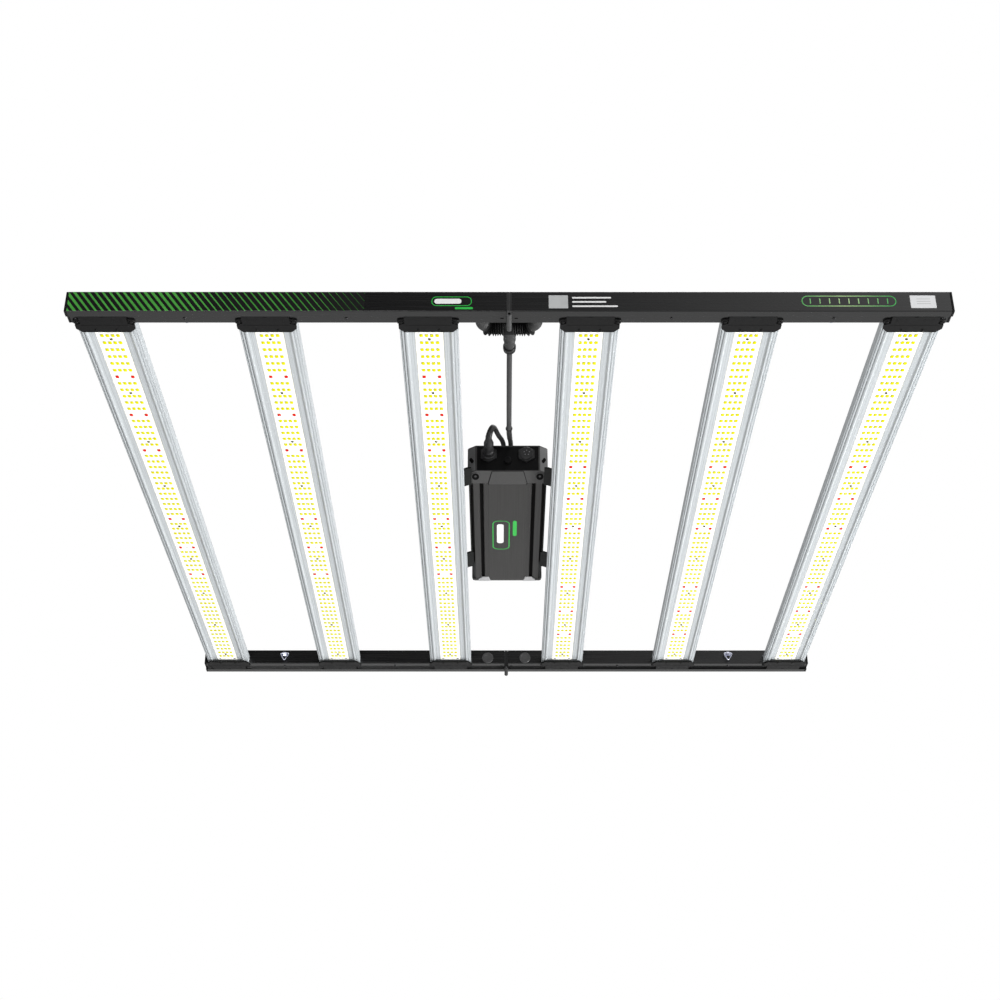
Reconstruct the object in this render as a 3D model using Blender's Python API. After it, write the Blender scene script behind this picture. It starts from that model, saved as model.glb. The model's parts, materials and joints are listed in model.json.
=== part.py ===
"""Folding six-bar LED grow light, 1.08 m square, built as separate pieces.

Frame: metres, +Z up. X runs across the bars, Y along them, the labelled front
beam is at -Y. The origin is the centre of the four hanger-ring pivots, the
height the lamp hangs from. Lengths below are in millimetres, and heights are
counted from the LED boards' face (see HANG_Z).
"""

import math

import bmesh
import bpy
from mathutils import Matrix, Vector

# ---------------------------------------------------------------- dimensions
MM = 0.001
GAP = 0.3                     # clearance between touching neighbours
HANG_Z = 15.5                 # hanger pivots above the LED face: row frame Z = 0

BAR_PITCH = 198.54            # bar centre to bar centre
BAR_HALF = 36.3               # half width of a bar
BAR_TOP = 12.0                # top of a bar's side walls
BAR_END = 519.4               # half length of a bar
BOARD_HALF = 17.5             # half width of an LED board
BOARD_T = 1.6                 # thickness of an LED board
BOARD_END = 508.0             # half length of an LED board

BEAM_HALF_X = 540.0           # half length of a whole cross-beam
BEAM_IN = 519.74              # inner face of a cross-beam, from the centre line
BEAM_STEP = 537.70            # step between shallow and deep underside
BEAM_OUT = 548.85             # outer face of a cross-beam
BEAM_UNDER = -2.25            # underside of the inner part
BEAM_LIP = -5.72              # underside of the outer lip
BEAM_TOP = 24.1               # top face
BEAM_WALL = 2.0
BEAM_START = 2.95             # inner end of a beam half's tube
BEAM_STOP = 537.0             # outer end of a beam half's tube
GLAND_X = 33.3                # cable holes in the beams' inner walls
GLAND_Z = 8.7
GLAND_R = 8.0

CAP_IN = 505.2                # inner edge of a bar end cap
CAP_OUT = 537.2               # outer edge, against the beam's step

FOLD_Z = -10.0                # fold axis: X = 0, along Y
KNUCKLE_R = 3.2
KNUCKLE_BORE = 1.65
PIN_R = 1.45

HANGER_X = 397.0              # hanger rings across the lamp
HANGER_Y = 514.0              # hanger rings along the lamp
WIRE_R = 0.95                 # ring wire

DRV_FRONT = -126.5            # driver front face
DRV_SEAM = -90.5              # back of its front end cap
DRV_REAR = 228.0              # driver rear face
DRV_HALF = 58.3               # half width of the end caps
DRV_BODY = 54.4               # half width of the extruded housing
DRV_LOW = 18.0                # underside
DRV_TOP = 61.0                # top
SOCKET_X = 27.5               # the two round connectors
SOCKET_Z = 46.2
KNOB_Z = 34.4

CABLE_R = 3.5
TEE_Y = -497.0                # centre line of the splitter's cross tube
TEE_NUT = -443.3              # end of the splitter's nut, where the cable leaves

# ------------------------------------------------------------------- helpers
for o in list(bpy.data.objects):
    bpy.data.objects.remove(o, do_unlink=True)

MATS = {}


def mat(name, rgb, rough, metal=0.0):
    if name not in MATS:
        m = bpy.data.materials.new(name)
        m.use_nodes = True
        b = m.node_tree.nodes["Principled BSDF"]
        b.inputs["Base Color"].default_value = (*rgb, 1.0)
        b.inputs["Roughness"].default_value = rough
        b.inputs["Metallic"].default_value = metal
        m.diffuse_color = (*rgb, 1.0)
        MATS[name] = m
    return MATS[name]


SILVER = ("anodised_aluminium", (0.55, 0.57, 0.60), 0.38, 0.85)
WHITE = ("board_white", (0.86, 0.87, 0.84), 0.45, 0.0)
BLACK = ("black_painted_metal", (0.035, 0.035, 0.035), 0.45, 0.2)
PLASTIC = ("black_plastic", (0.030, 0.030, 0.030), 0.55, 0.0)
CASE = ("driver_case", (0.060, 0.058, 0.056), 0.42, 0.4)
RUBBER = ("black_rubber", (0.022, 0.022, 0.022), 0.75, 0.0)
ZINC = ("zinc_plate", (0.80, 0.80, 0.84), 0.22, 1.0)
STEEL = ("pin_steel", (0.30, 0.30, 0.31), 0.35, 1.0)
GREEN = ("circuit_board", (0.03, 0.16, 0.07), 0.5, 0.0)


def P(x, y, z):
    """Millimetres above the LED face to row-frame metres."""
    return Vector((x * MM, y * MM, (z - HANG_Z) * MM))


def finish(name, bm, material):
    bmesh.ops.remove_doubles(bm, verts=bm.verts, dist=1e-6)
    bmesh.ops.recalc_face_normals(bm, faces=bm.faces)
    me = bpy.data.meshes.new(name)
    bm.to_mesh(me)
    bm.free()
    ob = bpy.data.objects.new(name, me)
    bpy.context.scene.collection.objects.link(ob)
    me.materials.append(mat(*material))
    return ob


def loops_fill(bm, loops):
    """Fills the plane region between an outer loop and any inner ones."""
    edges = []
    for vs in loops:
        for i, v in enumerate(vs):
            w = vs[(i + 1) % len(vs)]
            edges.append(bm.edges.get((v, w)) or bm.edges.new((v, w)))
    if len(loops) == 1:
        bm.faces.new(loops[0])
    else:
        bmesh.ops.triangle_fill(bm, use_beauty=True, edges=edges)


def prism(name, outline, axis, lo, hi, material, holes=()):
    """Extrudes a 2D outline (mm) along X, Y or Z between lo and hi.

    The outline's two numbers are (y, z) along X, (x, z) along Y, (x, y) along Z.
    """
    def at(p, t):
        return {"X": lambda: P(t, p[0], p[1]),
                "Y": lambda: P(p[0], t, p[1]),
                "Z": lambda: P(p[0], p[1], t)}[axis]()

    bm = bmesh.new()
    ends = []
    for t in (lo, hi):
        ends.append([[bm.verts.new(at(p, t)) for p in lp] for lp in (outline, *holes)])
    for a, b in zip(*ends):
        n = len(a)
        for i in range(n):
            j = (i + 1) % n
            bm.faces.new((a[i], a[j], b[j], b[i]))
    for e in ends:
        loops_fill(bm, e)
    return finish(name, bm, material)


def box(name, x0, x1, y0, y1, z0, z1, material):
    return prism(name, [(x0, y0), (x1, y0), (x1, y1), (x0, y1)], "Z", z0, z1, material)


def circle(cx, cy, r, n, turn=0.0):
    return [(cx + r * math.cos(math.tau * (i + turn) / n),
             cy + r * math.sin(math.tau * (i + turn) / n)) for i in range(n)]


def rod(name, centre, axis, r, lo, hi, n, material, turn=0.5):
    return prism(name, circle(centre[0], centre[1], r, n, turn), axis, lo, hi, material)


def turned(name, centre, profile, n, material):
    """A solid turned about an axis along Y: profile is (y, radius), ends closed."""
    bm = bmesh.new()
    rings = []
    for y, r in profile:
        rings.append([bm.verts.new(P(centre[0] + r * math.cos(math.tau * (i + .5) / n), y,
                                     centre[1] + r * math.sin(math.tau * (i + .5) / n)))
                      for i in range(n)])
    for a, b in zip(rings, rings[1:]):
        for i in range(n):
            j = (i + 1) % n
            bm.faces.new((a[i], a[j], b[j], b[i]))
    bm.faces.new(rings[0])
    bm.faces.new(rings[-1])
    return finish(name, bm, material)


def swept(name, path, radii, n, material, closed=False, side=Vector((0, 0, 1))):
    """A round tube along a path that lies in one plane, whose normal is side."""
    bm = bmesh.new()
    rings = []
    m = len(path)
    for k in range(m):
        a = path[(k - 1) % m] if (closed or k > 0) else path[k]
        b = path[(k + 1) % m] if (closed or k < m - 1) else path[k]
        t = (b - a).normalized()
        u = side.normalized()
        w = t.cross(u).normalized()
        rings.append([bm.verts.new(path[k] + (u * math.cos(math.tau * (i + .5) / n)
                                              + w * math.sin(math.tau * (i + .5) / n)) * radii[k])
                      for i in range(n)])
    pairs = list(zip(rings, rings[1:])) + ([(rings[-1], rings[0])] if closed else [])
    for a, b in pairs:
        for i in range(n):
            j = (i + 1) % n
            bm.faces.new((a[i], a[j], b[j], b[i]))
    if not closed:
        bm.faces.new(rings[0])
        bm.faces.new(rings[-1])
    return finish(name, bm, material)


def combine(ob, others, op):
    """Joins or cuts ob by others with exact Booleans, and applies them."""
    for k, other in enumerate(others):
        md = ob.modifiers.new("b%d" % k, "BOOLEAN")
        md.operation = op
        md.solver = "EXACT"
        md.object = other
    bpy.context.view_layer.update()
    dg = bpy.context.evaluated_depsgraph_get()
    me = bpy.data.meshes.new_from_object(ob.evaluated_get(dg))
    ob.modifiers.clear()
    ob.data = me
    for other in others:
        bpy.data.objects.remove(other, do_unlink=True)
    bm = bmesh.new()
    bm.from_mesh(me)
    bmesh.ops.remove_doubles(bm, verts=bm.verts, dist=2e-6)
    bmesh.ops.dissolve_degenerate(bm, edges=bm.edges, dist=1e-6)
    bm.to_mesh(me)
    bm.free()
    return ob


def union(ob, *others):
    return combine(ob, others, "UNION")


def cut(ob, *others):
    return combine(ob, others, "DIFFERENCE")


def smooth(ob, angle=35):
    ob.data.shade_smooth()
    ob.data.set_sharp_from_angle(angle=math.radians(angle))
    return ob


def origin_at(ob, point):
    """Moves the object's origin to a point, its surface staying where it is."""
    ob.data.transform(Matrix.Translation(-point))
    ob.location = point
    return ob


def spline(points, step):
    """Points about every step along a smooth centripetal curve through points."""
    pts = [2 * points[0] - points[1], *points, 2 * points[-1] - points[-2]]
    dense = []
    for p0, p1, p2, p3 in zip(pts, pts[1:], pts[2:], pts[3:]):
        t0 = 0.0
        t1 = t0 + (p1 - p0).length ** .5
        t2 = t1 + (p2 - p1).length ** .5
        t3 = t2 + (p3 - p2).length ** .5
        for k in range(24):
            t = t1 + (t2 - t1) * k / 24
            a1 = p0 * ((t1 - t) / (t1 - t0)) + p1 * ((t - t0) / (t1 - t0))
            a2 = p1 * ((t2 - t) / (t2 - t1)) + p2 * ((t - t1) / (t2 - t1))
            a3 = p2 * ((t3 - t) / (t3 - t2)) + p3 * ((t - t2) / (t3 - t2))
            b1 = a1 * ((t2 - t) / (t2 - t0)) + a2 * ((t - t0) / (t2 - t0))
            b2 = a2 * ((t3 - t) / (t3 - t1)) + a3 * ((t - t1) / (t3 - t1))
            dense.append(b1 * ((t2 - t) / (t2 - t1)) + b2 * ((t - t1) / (t2 - t1)))
    dense.append(points[-1].copy())
    lengths = [0.0]
    for a, b in zip(dense, dense[1:]):
        lengths.append(lengths[-1] + (b - a).length)
    count = max(2, round(lengths[-1] / step))
    out, k = [], 0
    for i in range(count + 1):
        s = lengths[-1] * i / count
        while k < len(dense) - 2 and lengths[k + 1] < s:
            k += 1
        f = (s - lengths[k]) / max(lengths[k + 1] - lengths[k], 1e-12)
        out.append(dense[k].lerp(dense[k + 1], min(max(f, 0), 1)))
    return out


# ------------------------------------------------------ light bars and boards
def bar_profile():
    right = [(BOARD_HALF + GAP, 0.0), (26.0, 0.0), (28.0, -1.8), (BAR_HALF, 0.0),
             (BAR_HALF, BAR_TOP), (BAR_HALF - 1.8, BAR_TOP), (BAR_HALF - 1.8, 3.6)]
    for fin in (21.1, 7.0):
        right += [(fin + 0.9, 3.6), (fin + 0.9, BAR_TOP), (fin - 0.9, BAR_TOP), (fin - 0.9, 3.6)]
    left = [(-x, z) for x, z in reversed(right)]
    return [(BOARD_HALF + GAP, BOARD_T + GAP)] + right + left + [(-BOARD_HALF - GAP, BOARD_T + GAP)]


BAR_X = [(i - 2.5) * BAR_PITCH for i in range(6)]
for i, cx in enumerate(BAR_X, 1):
    prism(f"light_bar_{i}", [(cx + x, z) for x, z in bar_profile()], "Y", -BAR_END, BAR_END, SILVER)
    box(f"led_board_{i}", cx - BOARD_HALF, cx + BOARD_HALF, -BOARD_END, BOARD_END, 0, BOARD_T, WHITE)


# ------------------------------------------------------------- bar end caps
def end_cap(name, cx, side):
    def ring(half):
        return [(cx + x, side * y) for x, y in half] + [(cx - x, side * y) for x, y in reversed(half)]

    lower = [(30.0, CAP_IN), (36.5, 512.5), (36.5, 520.3), (29.2, 523.0), (29.2, CAP_OUT)]
    upper = [(29.0, CAP_IN + 1), (35.5, 513.2), (35.5, 520.6), (37.6, 520.6), (37.6, 528.2), (28.2, 530.5), (28.2, CAP_OUT - 1)]
    body = prism(name, ring(lower), "Z", BEAM_LIP, -2.9, PLASTIC)
    return union(body, prism("t", ring(upper), "Z", -3.7, BEAM_UNDER - GAP, PLASTIC))


for i, cx in enumerate(BAR_X, 1):
    end_cap(f"end_cap_front_{i}", cx, -1)
    end_cap(f"end_cap_rear_{i}", cx, 1)


# ---------------------------------------------------------- cross-beam halves
def beam_outline(side, inset=0.0):
    c = 0.8 if inset == 0 else 0.0
    y0, y1, y2 = BEAM_IN + inset, BEAM_STEP + inset, BEAM_OUT - inset
    z0, z1, z2 = BEAM_UNDER + inset, BEAM_LIP + inset, BEAM_TOP - inset
    pts = [(y0, z0 + c), (y0 + c, z0), (y1, z0), (y1, z1), (y2 - c, z1), (y2, z1 + c),
           (y2, z2 - c), (y2 - c, z2), (y0 + c, z2), (y0, z2 - c)]
    pts = [p for k, p in enumerate(pts) if p != pts[k - 1]]
    return [(side * y, z) for y, z in pts]


def spigot_outline(side):
    return beam_outline(side, BEAM_WALL + GAP)


for end, side in (("front", -1), ("rear", 1)):
    for half, sx in (("left", -1), ("right", 1)):
        lo, hi = sorted((sx * BEAM_START, sx * BEAM_STOP))
        beam = prism(f"{end}_beam_{half}", beam_outline(side), "X", lo, hi, BLACK,
                     holes=[beam_outline(side, BEAM_WALL)])
        hole = rod("h", (sx * GLAND_X, GLAND_Z), "Y", GLAND_R,
                   *sorted((side * (BEAM_IN - 2), side * (BEAM_IN + 4))), 20, BLACK)
        cut(beam, hole)

        plug = prism(f"beam_cap_{end}_{half}", beam_outline(side), "X",
                     *sorted((sx * (BEAM_STOP + GAP), sx * BEAM_HALF_X)), PLASTIC)
        union(plug, prism("s", spigot_outline(side), "X",
                          *sorted((sx * (BEAM_STOP - 9), sx * (BEAM_STOP + 1))), PLASTIC))


# ------------------------------------------------------------ hinges and pins
KNUCKLES = {"left": ((517.0, 525.4), (541.4, 550.0)), "right": ((525.7, 541.1),)}
for end, side in (("front", -1), ("rear", 1)):
    for half, sx in (("left", -1), ("right", 1)):
        leaf = prism(f"hinge_leaf_{end}_{half}", beam_outline(side), "X",
                     *sorted((sx * 0.15, sx * 2.65)), BLACK)
        adds = [prism("s", spigot_outline(side), "X", *sorted((sx * 1.5, sx * 13.0)), BLACK)]
        for a, b in KNUCKLES[half]:
            adds.append(rod("k", (0, FOLD_Z), "Y", KNUCKLE_R, *sorted((side * a, side * b)), 20, BLACK))
            a, b = max(a, BEAM_IN + 0.9), min(b, BEAM_OUT - 0.9)
            adds.append(box("w", *sorted((sx * 0.15, sx * 2.65)), *sorted((side * a, side * b)),
                            FOLD_Z + 0.5, BEAM_UNDER + 2, BLACK))
        union(leaf, *adds)
        bore = rod("b", (0, FOLD_Z), "Y", KNUCKLE_BORE, *sorted((side * 510, side * 560)), 16, BLACK)
        cut(leaf, bore)
        smooth(leaf, 30)
    pin = turned(f"hinge_pin_{end}", (0, FOLD_Z),
                 [(side * 518.0, PIN_R - .4), (side * 518.5, PIN_R), (side * 548.3, PIN_R), (side * 548.8, PIN_R - .4)],
                 16, STEEL)
    smooth(pin, 50)


# ------------------------------------------------------------- hanger rings
def ring_path():
    """V-shaped ring with a straight top run, in the XZ plane, pivot at the origin."""
    pts = []

    def arc(cx, cz, r, a0, a1, n):
        for k in range(n + 1):
            a = math.radians(a0 + (a1 - a0) * k / n)
            pts.append((cx + r * math.cos(a), cz + r * math.sin(a)))

    for x in (-3.4, -1.2, 1.2, 3.4):
        pts.append((x, 0.0))
    arc(5.1, -1.7, 1.7, 90, -24, 4)
    arc(0.0, -10.4, 2.1, -24, -156, 5)
    arc(-5.1, -1.7, 1.7, 204, 90, 4)
    return pts


for end, side in (("front", -1), ("rear", 1)):
    for half, sx in (("left", -1), ("right", 1)):
        px, py = sx * HANGER_X, side * HANGER_Y
        bracket = box(f"hanger_bracket_{end}_{half}", px - 6, px + 6,
                      *sorted((side * (BEAM_IN - GAP), side * (BEAM_IN - 1.5))),
                      HANG_Z - 3.2, HANG_Z + 3.2, ZINC)
        union(bracket,
              box("w", px - 2.4, px + 2.4, *sorted((side * (BEAM_IN - 1), side * (HANGER_Y))),
                  HANG_Z - 1.6, HANG_Z + 1.6, ZINC),
              rod("k", (py, HANG_Z), "X", 2.2, px - 2.4, px + 2.4, 16, ZINC))
        cut(bracket, rod("b", (py, HANG_Z), "X", 1.35, px - 5, px + 5, 16, ZINC))
        smooth(bracket, 30)
        path = [P(px + x, py, HANG_Z + z) for x, z in ring_path()]
        ring = swept(f"hanger_ring_{end}_{half}", path, [WIRE_R * MM] * len(path), 8, ZINC,
                     closed=True, side=Vector((0, 1, 0)))
        smooth(ring, 60)
        origin_at(ring, P(px, py, HANG_Z))


# ------------------------------------------- cable splitter on the front beam
def tee_path(sx, stop):
    """From inside the beam out of its hole, round an elbow, along X to stop."""
    r = 14.0
    face = -BEAM_IN
    pts, radii = [], []

    def add(x, y, rad):
        pts.append(P(sx * x, y, GLAND_Z))
        radii.append(rad * MM)

    add(GLAND_X, face - 6, 7.2)
    add(GLAND_X, face - 5, 7.55)
    add(GLAND_X, face + GAP, 7.55)
    add(GLAND_X, face + GAP + 0.02, 9.4)
    add(GLAND_X, face + GAP + 1, 10.0)
    add(GLAND_X, face + 5, 9.6)
    y0 = TEE_Y - r
    add(GLAND_X, y0, 9.3)
    n = 8
    for k in range(1, n + 1):
        a = math.radians(90 * k / n)
        add(GLAND_X - r + r * math.cos(a), y0 + r * math.sin(a),
            9.3 if k < 4 else (10.7 if k % 2 else 8.9))
    x = GLAND_X - r
    k = 0
    while x - 1.7 > stop + 2.0:
        x -= 1.7
        add(x, TEE_Y, 10.7 if k % 2 == 0 else 8.9)
        k += 1
    add(stop, TEE_Y, 10.2)
    return pts, radii


pts, radii = tee_path(-1, 9.0)
for x in (5.0, 0.0, -5.0):
    pts.append(P(-x, TEE_Y, GLAND_Z))
    radii.append(11.2 * MM)
pts.append(P(9.0, TEE_Y, GLAND_Z))
radii.append(10.4 * MM)
splitter = swept("cable_splitter", pts, radii, 14, RUBBER)
neck = turned("n", (0.8, GLAND_Z),
              [(-500, 8.6), (-484, 8.6), (-477, 7.6), (-472, 7.6), (-470.5, 7.2), (-458, 6.7),
               (-455.6, 6.7)], 20, RUBBER)
union(splitter, neck)
smooth(splitter, 50)
pts, radii = tee_path(1, 9.3)
smooth(swept("splitter_right_arm", pts, radii, 14, RUBBER), 50)
nut = turned("splitter_nut", (0.8, GLAND_Z),
             [(-455.3, 7.6), (-454.3, 8.2), (-449.5, 8.2), (-446.5, 7.6), (-444.2, 5.8), (TEE_NUT, 4.6)], 24, PLASTIC)
smooth(nut, 40)


# ------------------------------------------------------------------- driver
def driver_outline():
    right = [(35.4, DRV_LOW), (37.0, 21.0), (40.2, 21.0), (41.4, 18.7), (50.5, 18.7), (DRV_BODY, 21.6),
             (DRV_BODY, 30.0), (52.6, 31.0), (52.6, 34.0), (DRV_BODY, 35.0), (DRV_BODY, 43.0),
             (52.6, 44.0), (52.6, 47.0), (DRV_BODY, 48.0), (DRV_BODY, 56.0), (51.5, 59.4), (48.5, 59.4), (48.5, 54.0)]
    for fin in (41.0, 32.0, 23.0, 14.0, 5.0):
        right += [(fin + 1.0, 54.0), (fin + 0.8, 60.5), (fin - 0.8, 60.5), (fin - 1.0, 54.0)]
    left = [(-x, z) for x, z in reversed(right)]
    return right + left


cavity = [(-49.6, 24.0), (49.6, 24.0), (49.6, 51.0), (-49.6, 51.0)]
prism("driver_housing", driver_outline(), "Y", DRV_SEAM + GAP, DRV_REAR - 6 - GAP, CASE, holes=[cavity])

# front end cap: a cup, open towards the housing, with a recessed black panel
front_cap = prism("driver_front_cap",
                  [(-DRV_HALF, DRV_SEAM), (-DRV_HALF, -117.5), (-46.5, DRV_FRONT),
                   (46.5, DRV_FRONT), (DRV_HALF, -117.5), (DRV_HALF, DRV_SEAM)], "Z", DRV_LOW, DRV_TOP, CASE)
edge_cut = []
for sx in (-1, 1):
    edge_cut.append(prism("e", [(sx * 53.5, DRV_LOW - 2), (sx * 62, DRV_LOW - 2), (sx * 62, DRV_LOW + 4.5)],
                          "Y", -140, -80, CASE))
    edge_cut.append(prism("e", [(sx * 55.5, DRV_TOP + 1), (sx * 62, DRV_TOP + 1), (sx * 62, DRV_TOP - 4)],
                          "Y", -140, -80, CASE))
edge_cut.append(prism("i", [(-52, DRV_SEAM + 5), (-52, -114), (-43, -121.5), (43, -121.5), (52, -114), (52, DRV_SEAM + 5)],
                      "Z", DRV_LOW + 3, DRV_TOP - 3, CASE))
edge_cut.append(box("r", -45, 45, DRV_FRONT - 5, DRV_FRONT + 1.5, DRV_LOW + 1.2, DRV_TOP - 1.0, CASE))
for x in (-SOCKET_X, SOCKET_X):
    edge_cut.append(rod("s", (x, SOCKET_Z), "Y", 8.6, -130, -118, 20, CASE))
edge_cut.append(rod("k", (0, KNOB_Z), "Y", 2.9, -130, -118, 16, CASE))
for sx in (-1, 1):                     # slots in the corner chamfers
    slot = box("o", -1.6, 1.6, -3, 3, SOCKET_Z - 14, SOCKET_Z - 4, CASE)
    slot.matrix_world = Matrix.Translation(Vector((sx * 52.4 * MM, -122.0 * MM, 0))) @ \
        Matrix.Rotation(math.radians(sx * 37), 4, "Z")
    edge_cut.append(slot)
cut(front_cap, *edge_cut)

rear_cap = prism("driver_rear_cap",
                 [(-DRV_HALF + 3, DRV_LOW + 1), (-DRV_HALF + 6, DRV_LOW), (DRV_HALF - 6, DRV_LOW), (DRV_HALF - 3, DRV_LOW + 1),
                  (DRV_HALF - 1.5, DRV_LOW + 5), (DRV_HALF - 1.5, DRV_TOP - 5), (DRV_HALF - 5, DRV_TOP),
                  (-DRV_HALF + 5, DRV_TOP), (-DRV_HALF + 1.5, DRV_TOP - 5), (-DRV_HALF + 1.5, DRV_LOW + 5)],
                 "Y", DRV_REAR - 6, DRV_REAR, CASE)
union(rear_cap, prism("s", [(-49.2, 24.4), (49.2, 24.4), (49.2, 50.6), (-49.2, 50.6)], "Y", DRV_REAR - 14, DRV_REAR - 5, CASE))

board = box("driver_circuit_board", -45, 45, -82, 206, 27, 28.6, GREEN)
union(board,
      box("t1", -34, 4, -40, 6, 28.2, 47, GREEN), box("t2", -20, 22, 50, 92, 28.2, 46, GREEN),
      rod("c1", (24, -24), "Z", 11, 28.2, 48, 16, GREEN), rod("c2", (24, 8), "Z", 11, 28.2, 48, 16, GREEN),
      rod("c3", (-28, 140), "Z", 9, 28.2, 44, 16, GREEN), box("hs", 33, 37, 110, 190, 28.2, 46, GREEN),
      box("t3", -12, 14, 120, 160, 28.2, 40, GREEN))


def hex_socket(name, x):
    flange = prism(name, circle(x, SOCKET_Z, 13.4, 6, 0.5), "Y", -128.5, DRV_FRONT + 1.5 - GAP, PLASTIC)
    tube = turned("t", (x, SOCKET_Z), [(-131.8, 8.7), (-131.2, 9.3), (-127.5, 9.3)], 20, PLASTIC)
    tail = turned("u", (x, SOCKET_Z), [(-127, 8.2), (-116, 8.2)], 20, PLASTIC)
    union(flange, tube, tail)
    return cut(flange, rod("b", (x, SOCKET_Z), "Y", 7.4, -135, -122.5, 20, PLASTIC))


smooth(hex_socket("driver_output_socket", -SOCKET_X), 35)
smooth(hex_socket("mains_inlet", SOCKET_X), 35)

knob = turned("dimmer_knob", (0, KNOB_Z), [(-132.0, 4.2), (-131.4, 4.9), (-126.0, 5.0), (-125.4, 5.0),
                                           (-125.35, 2.4), (-119.5, 2.4)], 16, PLASTIC)
union(knob, box("p", -0.6, 0.6, -132.6, -127, KNOB_Z + 1.5, KNOB_Z + 4.6, PLASTIC))
smooth(knob, 40)
origin_at(knob, P(0, -125.0, KNOB_Z))


def bracket(name, sx):
    """Side rail along the housing, and two arms that step down onto a bar."""
    parts = [box(name, *sorted((sx * (DRV_BODY + GAP), sx * (DRV_BODY + GAP + 2.2))), DRV_SEAM + GAP, 172, 15.4, 31, BLACK)]
    for y0, y1 in ((-138.5, -89.5), (122.5, 172.0)):
        section = [(52.8, 15.4), (57.2, 15.4), (66.5, 12.0 + GAP), (100.0, 12.0 + GAP), (100.0, 14.3), (67.0, 14.3), (58.0, 17.6), (52.8, 17.6)]
        parts.append(prism("a", [(sx * x, z) for x, z in section], "Y", y0, y1, BLACK))
    return union(parts[0], *parts[1:])


bracket("driver_bracket_left", -1)
bracket("driver_bracket_right", 1)

# plug: nose in the socket, body, and a tapered tail that bends back
plug = turned("cable_plug", (-SOCKET_X, SOCKET_Z),
              [(-125.0, 6.4), (-126.0, 6.8), (-132.1, 6.8), (-132.12, 7.7), (-140, 7.7), (-141, 7.2), (-158, 7.2),
               (-162, 6.0), (-167, 4.9), (-171, 4.6)], 20, RUBBER)
TAIL_R, TAIL_TURN = 9.0, 158
tail_side = Vector((math.sin(math.radians(22)), 0, math.cos(math.radians(22))))
tail, tail_radii = [P(-SOCKET_X, -166, SOCKET_Z)], [4.6 * MM]
for k in range(11):
    a = math.radians(TAIL_TURN * k / 10)
    tail.append(P(-SOCKET_X, -171, SOCKET_Z) + tail_side * (TAIL_R * MM * (1 - math.cos(a)))
                + Vector((0, -1, 0)) * (TAIL_R * MM * math.sin(a)))
    tail_radii.append((4.6 - 0.7 * k / 10) * MM)
tail_dir = (tail[-1] - tail[-2]).normalized()
union(plug, swept("t", tail, tail_radii, 12, RUBBER, side=tail_side.cross(Vector((0, 1, 0)))))
smooth(plug, 50)

# ---------------------------------------------------------------- the cable
CABLE_START = P(0.8, TEE_NUT + GAP, GLAND_Z)
CABLE_END = tail[-1] + tail_dir * (0.7 * MM)


def cable_route():
    """From the splitter's nut, sagging, up over the driver's front edge, one
    loop lying on its top, back over the edge and down to the angled plug."""
    rest = DRV_TOP + CABLE_R + 0.4
    pts = [CABLE_START, P(0.8, -436, GLAND_Z - 0.1), P(0.8, -424, GLAND_Z - 0.7), P(0.8, -398, 7.2), P(0.9, -360, 6.9),
           P(1.0, -315, 10.2), P(1.2, -270, 18.5), P(1.4, -228, 30.0), P(1.8, -192, 43.2), P(2.4, -164, 54.8),
           P(3.1, -144, 62.2), P(4.2, -127, rest + 0.9), P(4.9, -114, rest + 0.2), P(6.0, -104, rest), P(12.5, -88, rest), P(22.5, -74, rest)]
    for a in (-22, 4, 30, 58, 90, 122, 150, 176, 202):
        pts.append(P(33 * math.cos(math.radians(a)), -48 + 33 * math.sin(math.radians(a)), rest))
    pts += [P(-22.0, -74, rest), P(-12.5, -88, rest), P(-7.0, -104, rest), P(-6.0, -120, rest), P(-8.4, -136, rest - 0.5),
            P(-13.5, -152, rest - 2.0)]
    pts += [CABLE_END - tail_dir * (-9 * MM), CABLE_END]
    return pts


cable_points = spline(cable_route(), 2.3 * 2 * CABLE_R * MM * 0.72)
curve = bpy.data.curves.new("driver_cable", "CURVE")
curve.dimensions = "3D"
curve.bevel_depth = CABLE_R * MM
curve.bevel_resolution = 2
curve.use_fill_caps = True
line = curve.splines.new("POLY")
line.points.add(len(cable_points) - 1)
for point, p in zip(line.points, cable_points):
    point.co = (*p, 1.0)
curve.materials.append(mat(*RUBBER))
cable = bpy.data.objects.new("driver_cable", curve)
bpy.context.scene.collection.objects.link(cable)

# ------------------------------------- the right half turns about the fold axis
fold = bpy.data.objects.new("fold_axis", None)
bpy.context.scene.collection.objects.link(fold)
fold.location = P(0, 0, FOLD_Z)
bpy.context.view_layer.update()
RIGHT = [f"light_bar_{i}" for i in (4, 5, 6)] + [f"led_board_{i}" for i in (4, 5, 6)]
RIGHT += [f"end_cap_{e}_{i}" for e in ("front", "rear") for i in (4, 5, 6)]
RIGHT += ["splitter_right_arm"]
for e in ("front", "rear"):
    RIGHT += [f"{e}_beam_right", f"beam_cap_{e}_right", f"hinge_leaf_{e}_right",
              f"hanger_bracket_{e}_right", f"hanger_ring_{e}_right"]
for name in RIGHT:
    ob = bpy.data.objects[name]
    ob.parent = fold
    ob.matrix_parent_inverse = fold.matrix_world.inverted()
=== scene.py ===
# Looks of the folding LED grow light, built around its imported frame.
import json
import math

import bmesh
import bpy
from mathutils import Matrix, Vector

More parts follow.
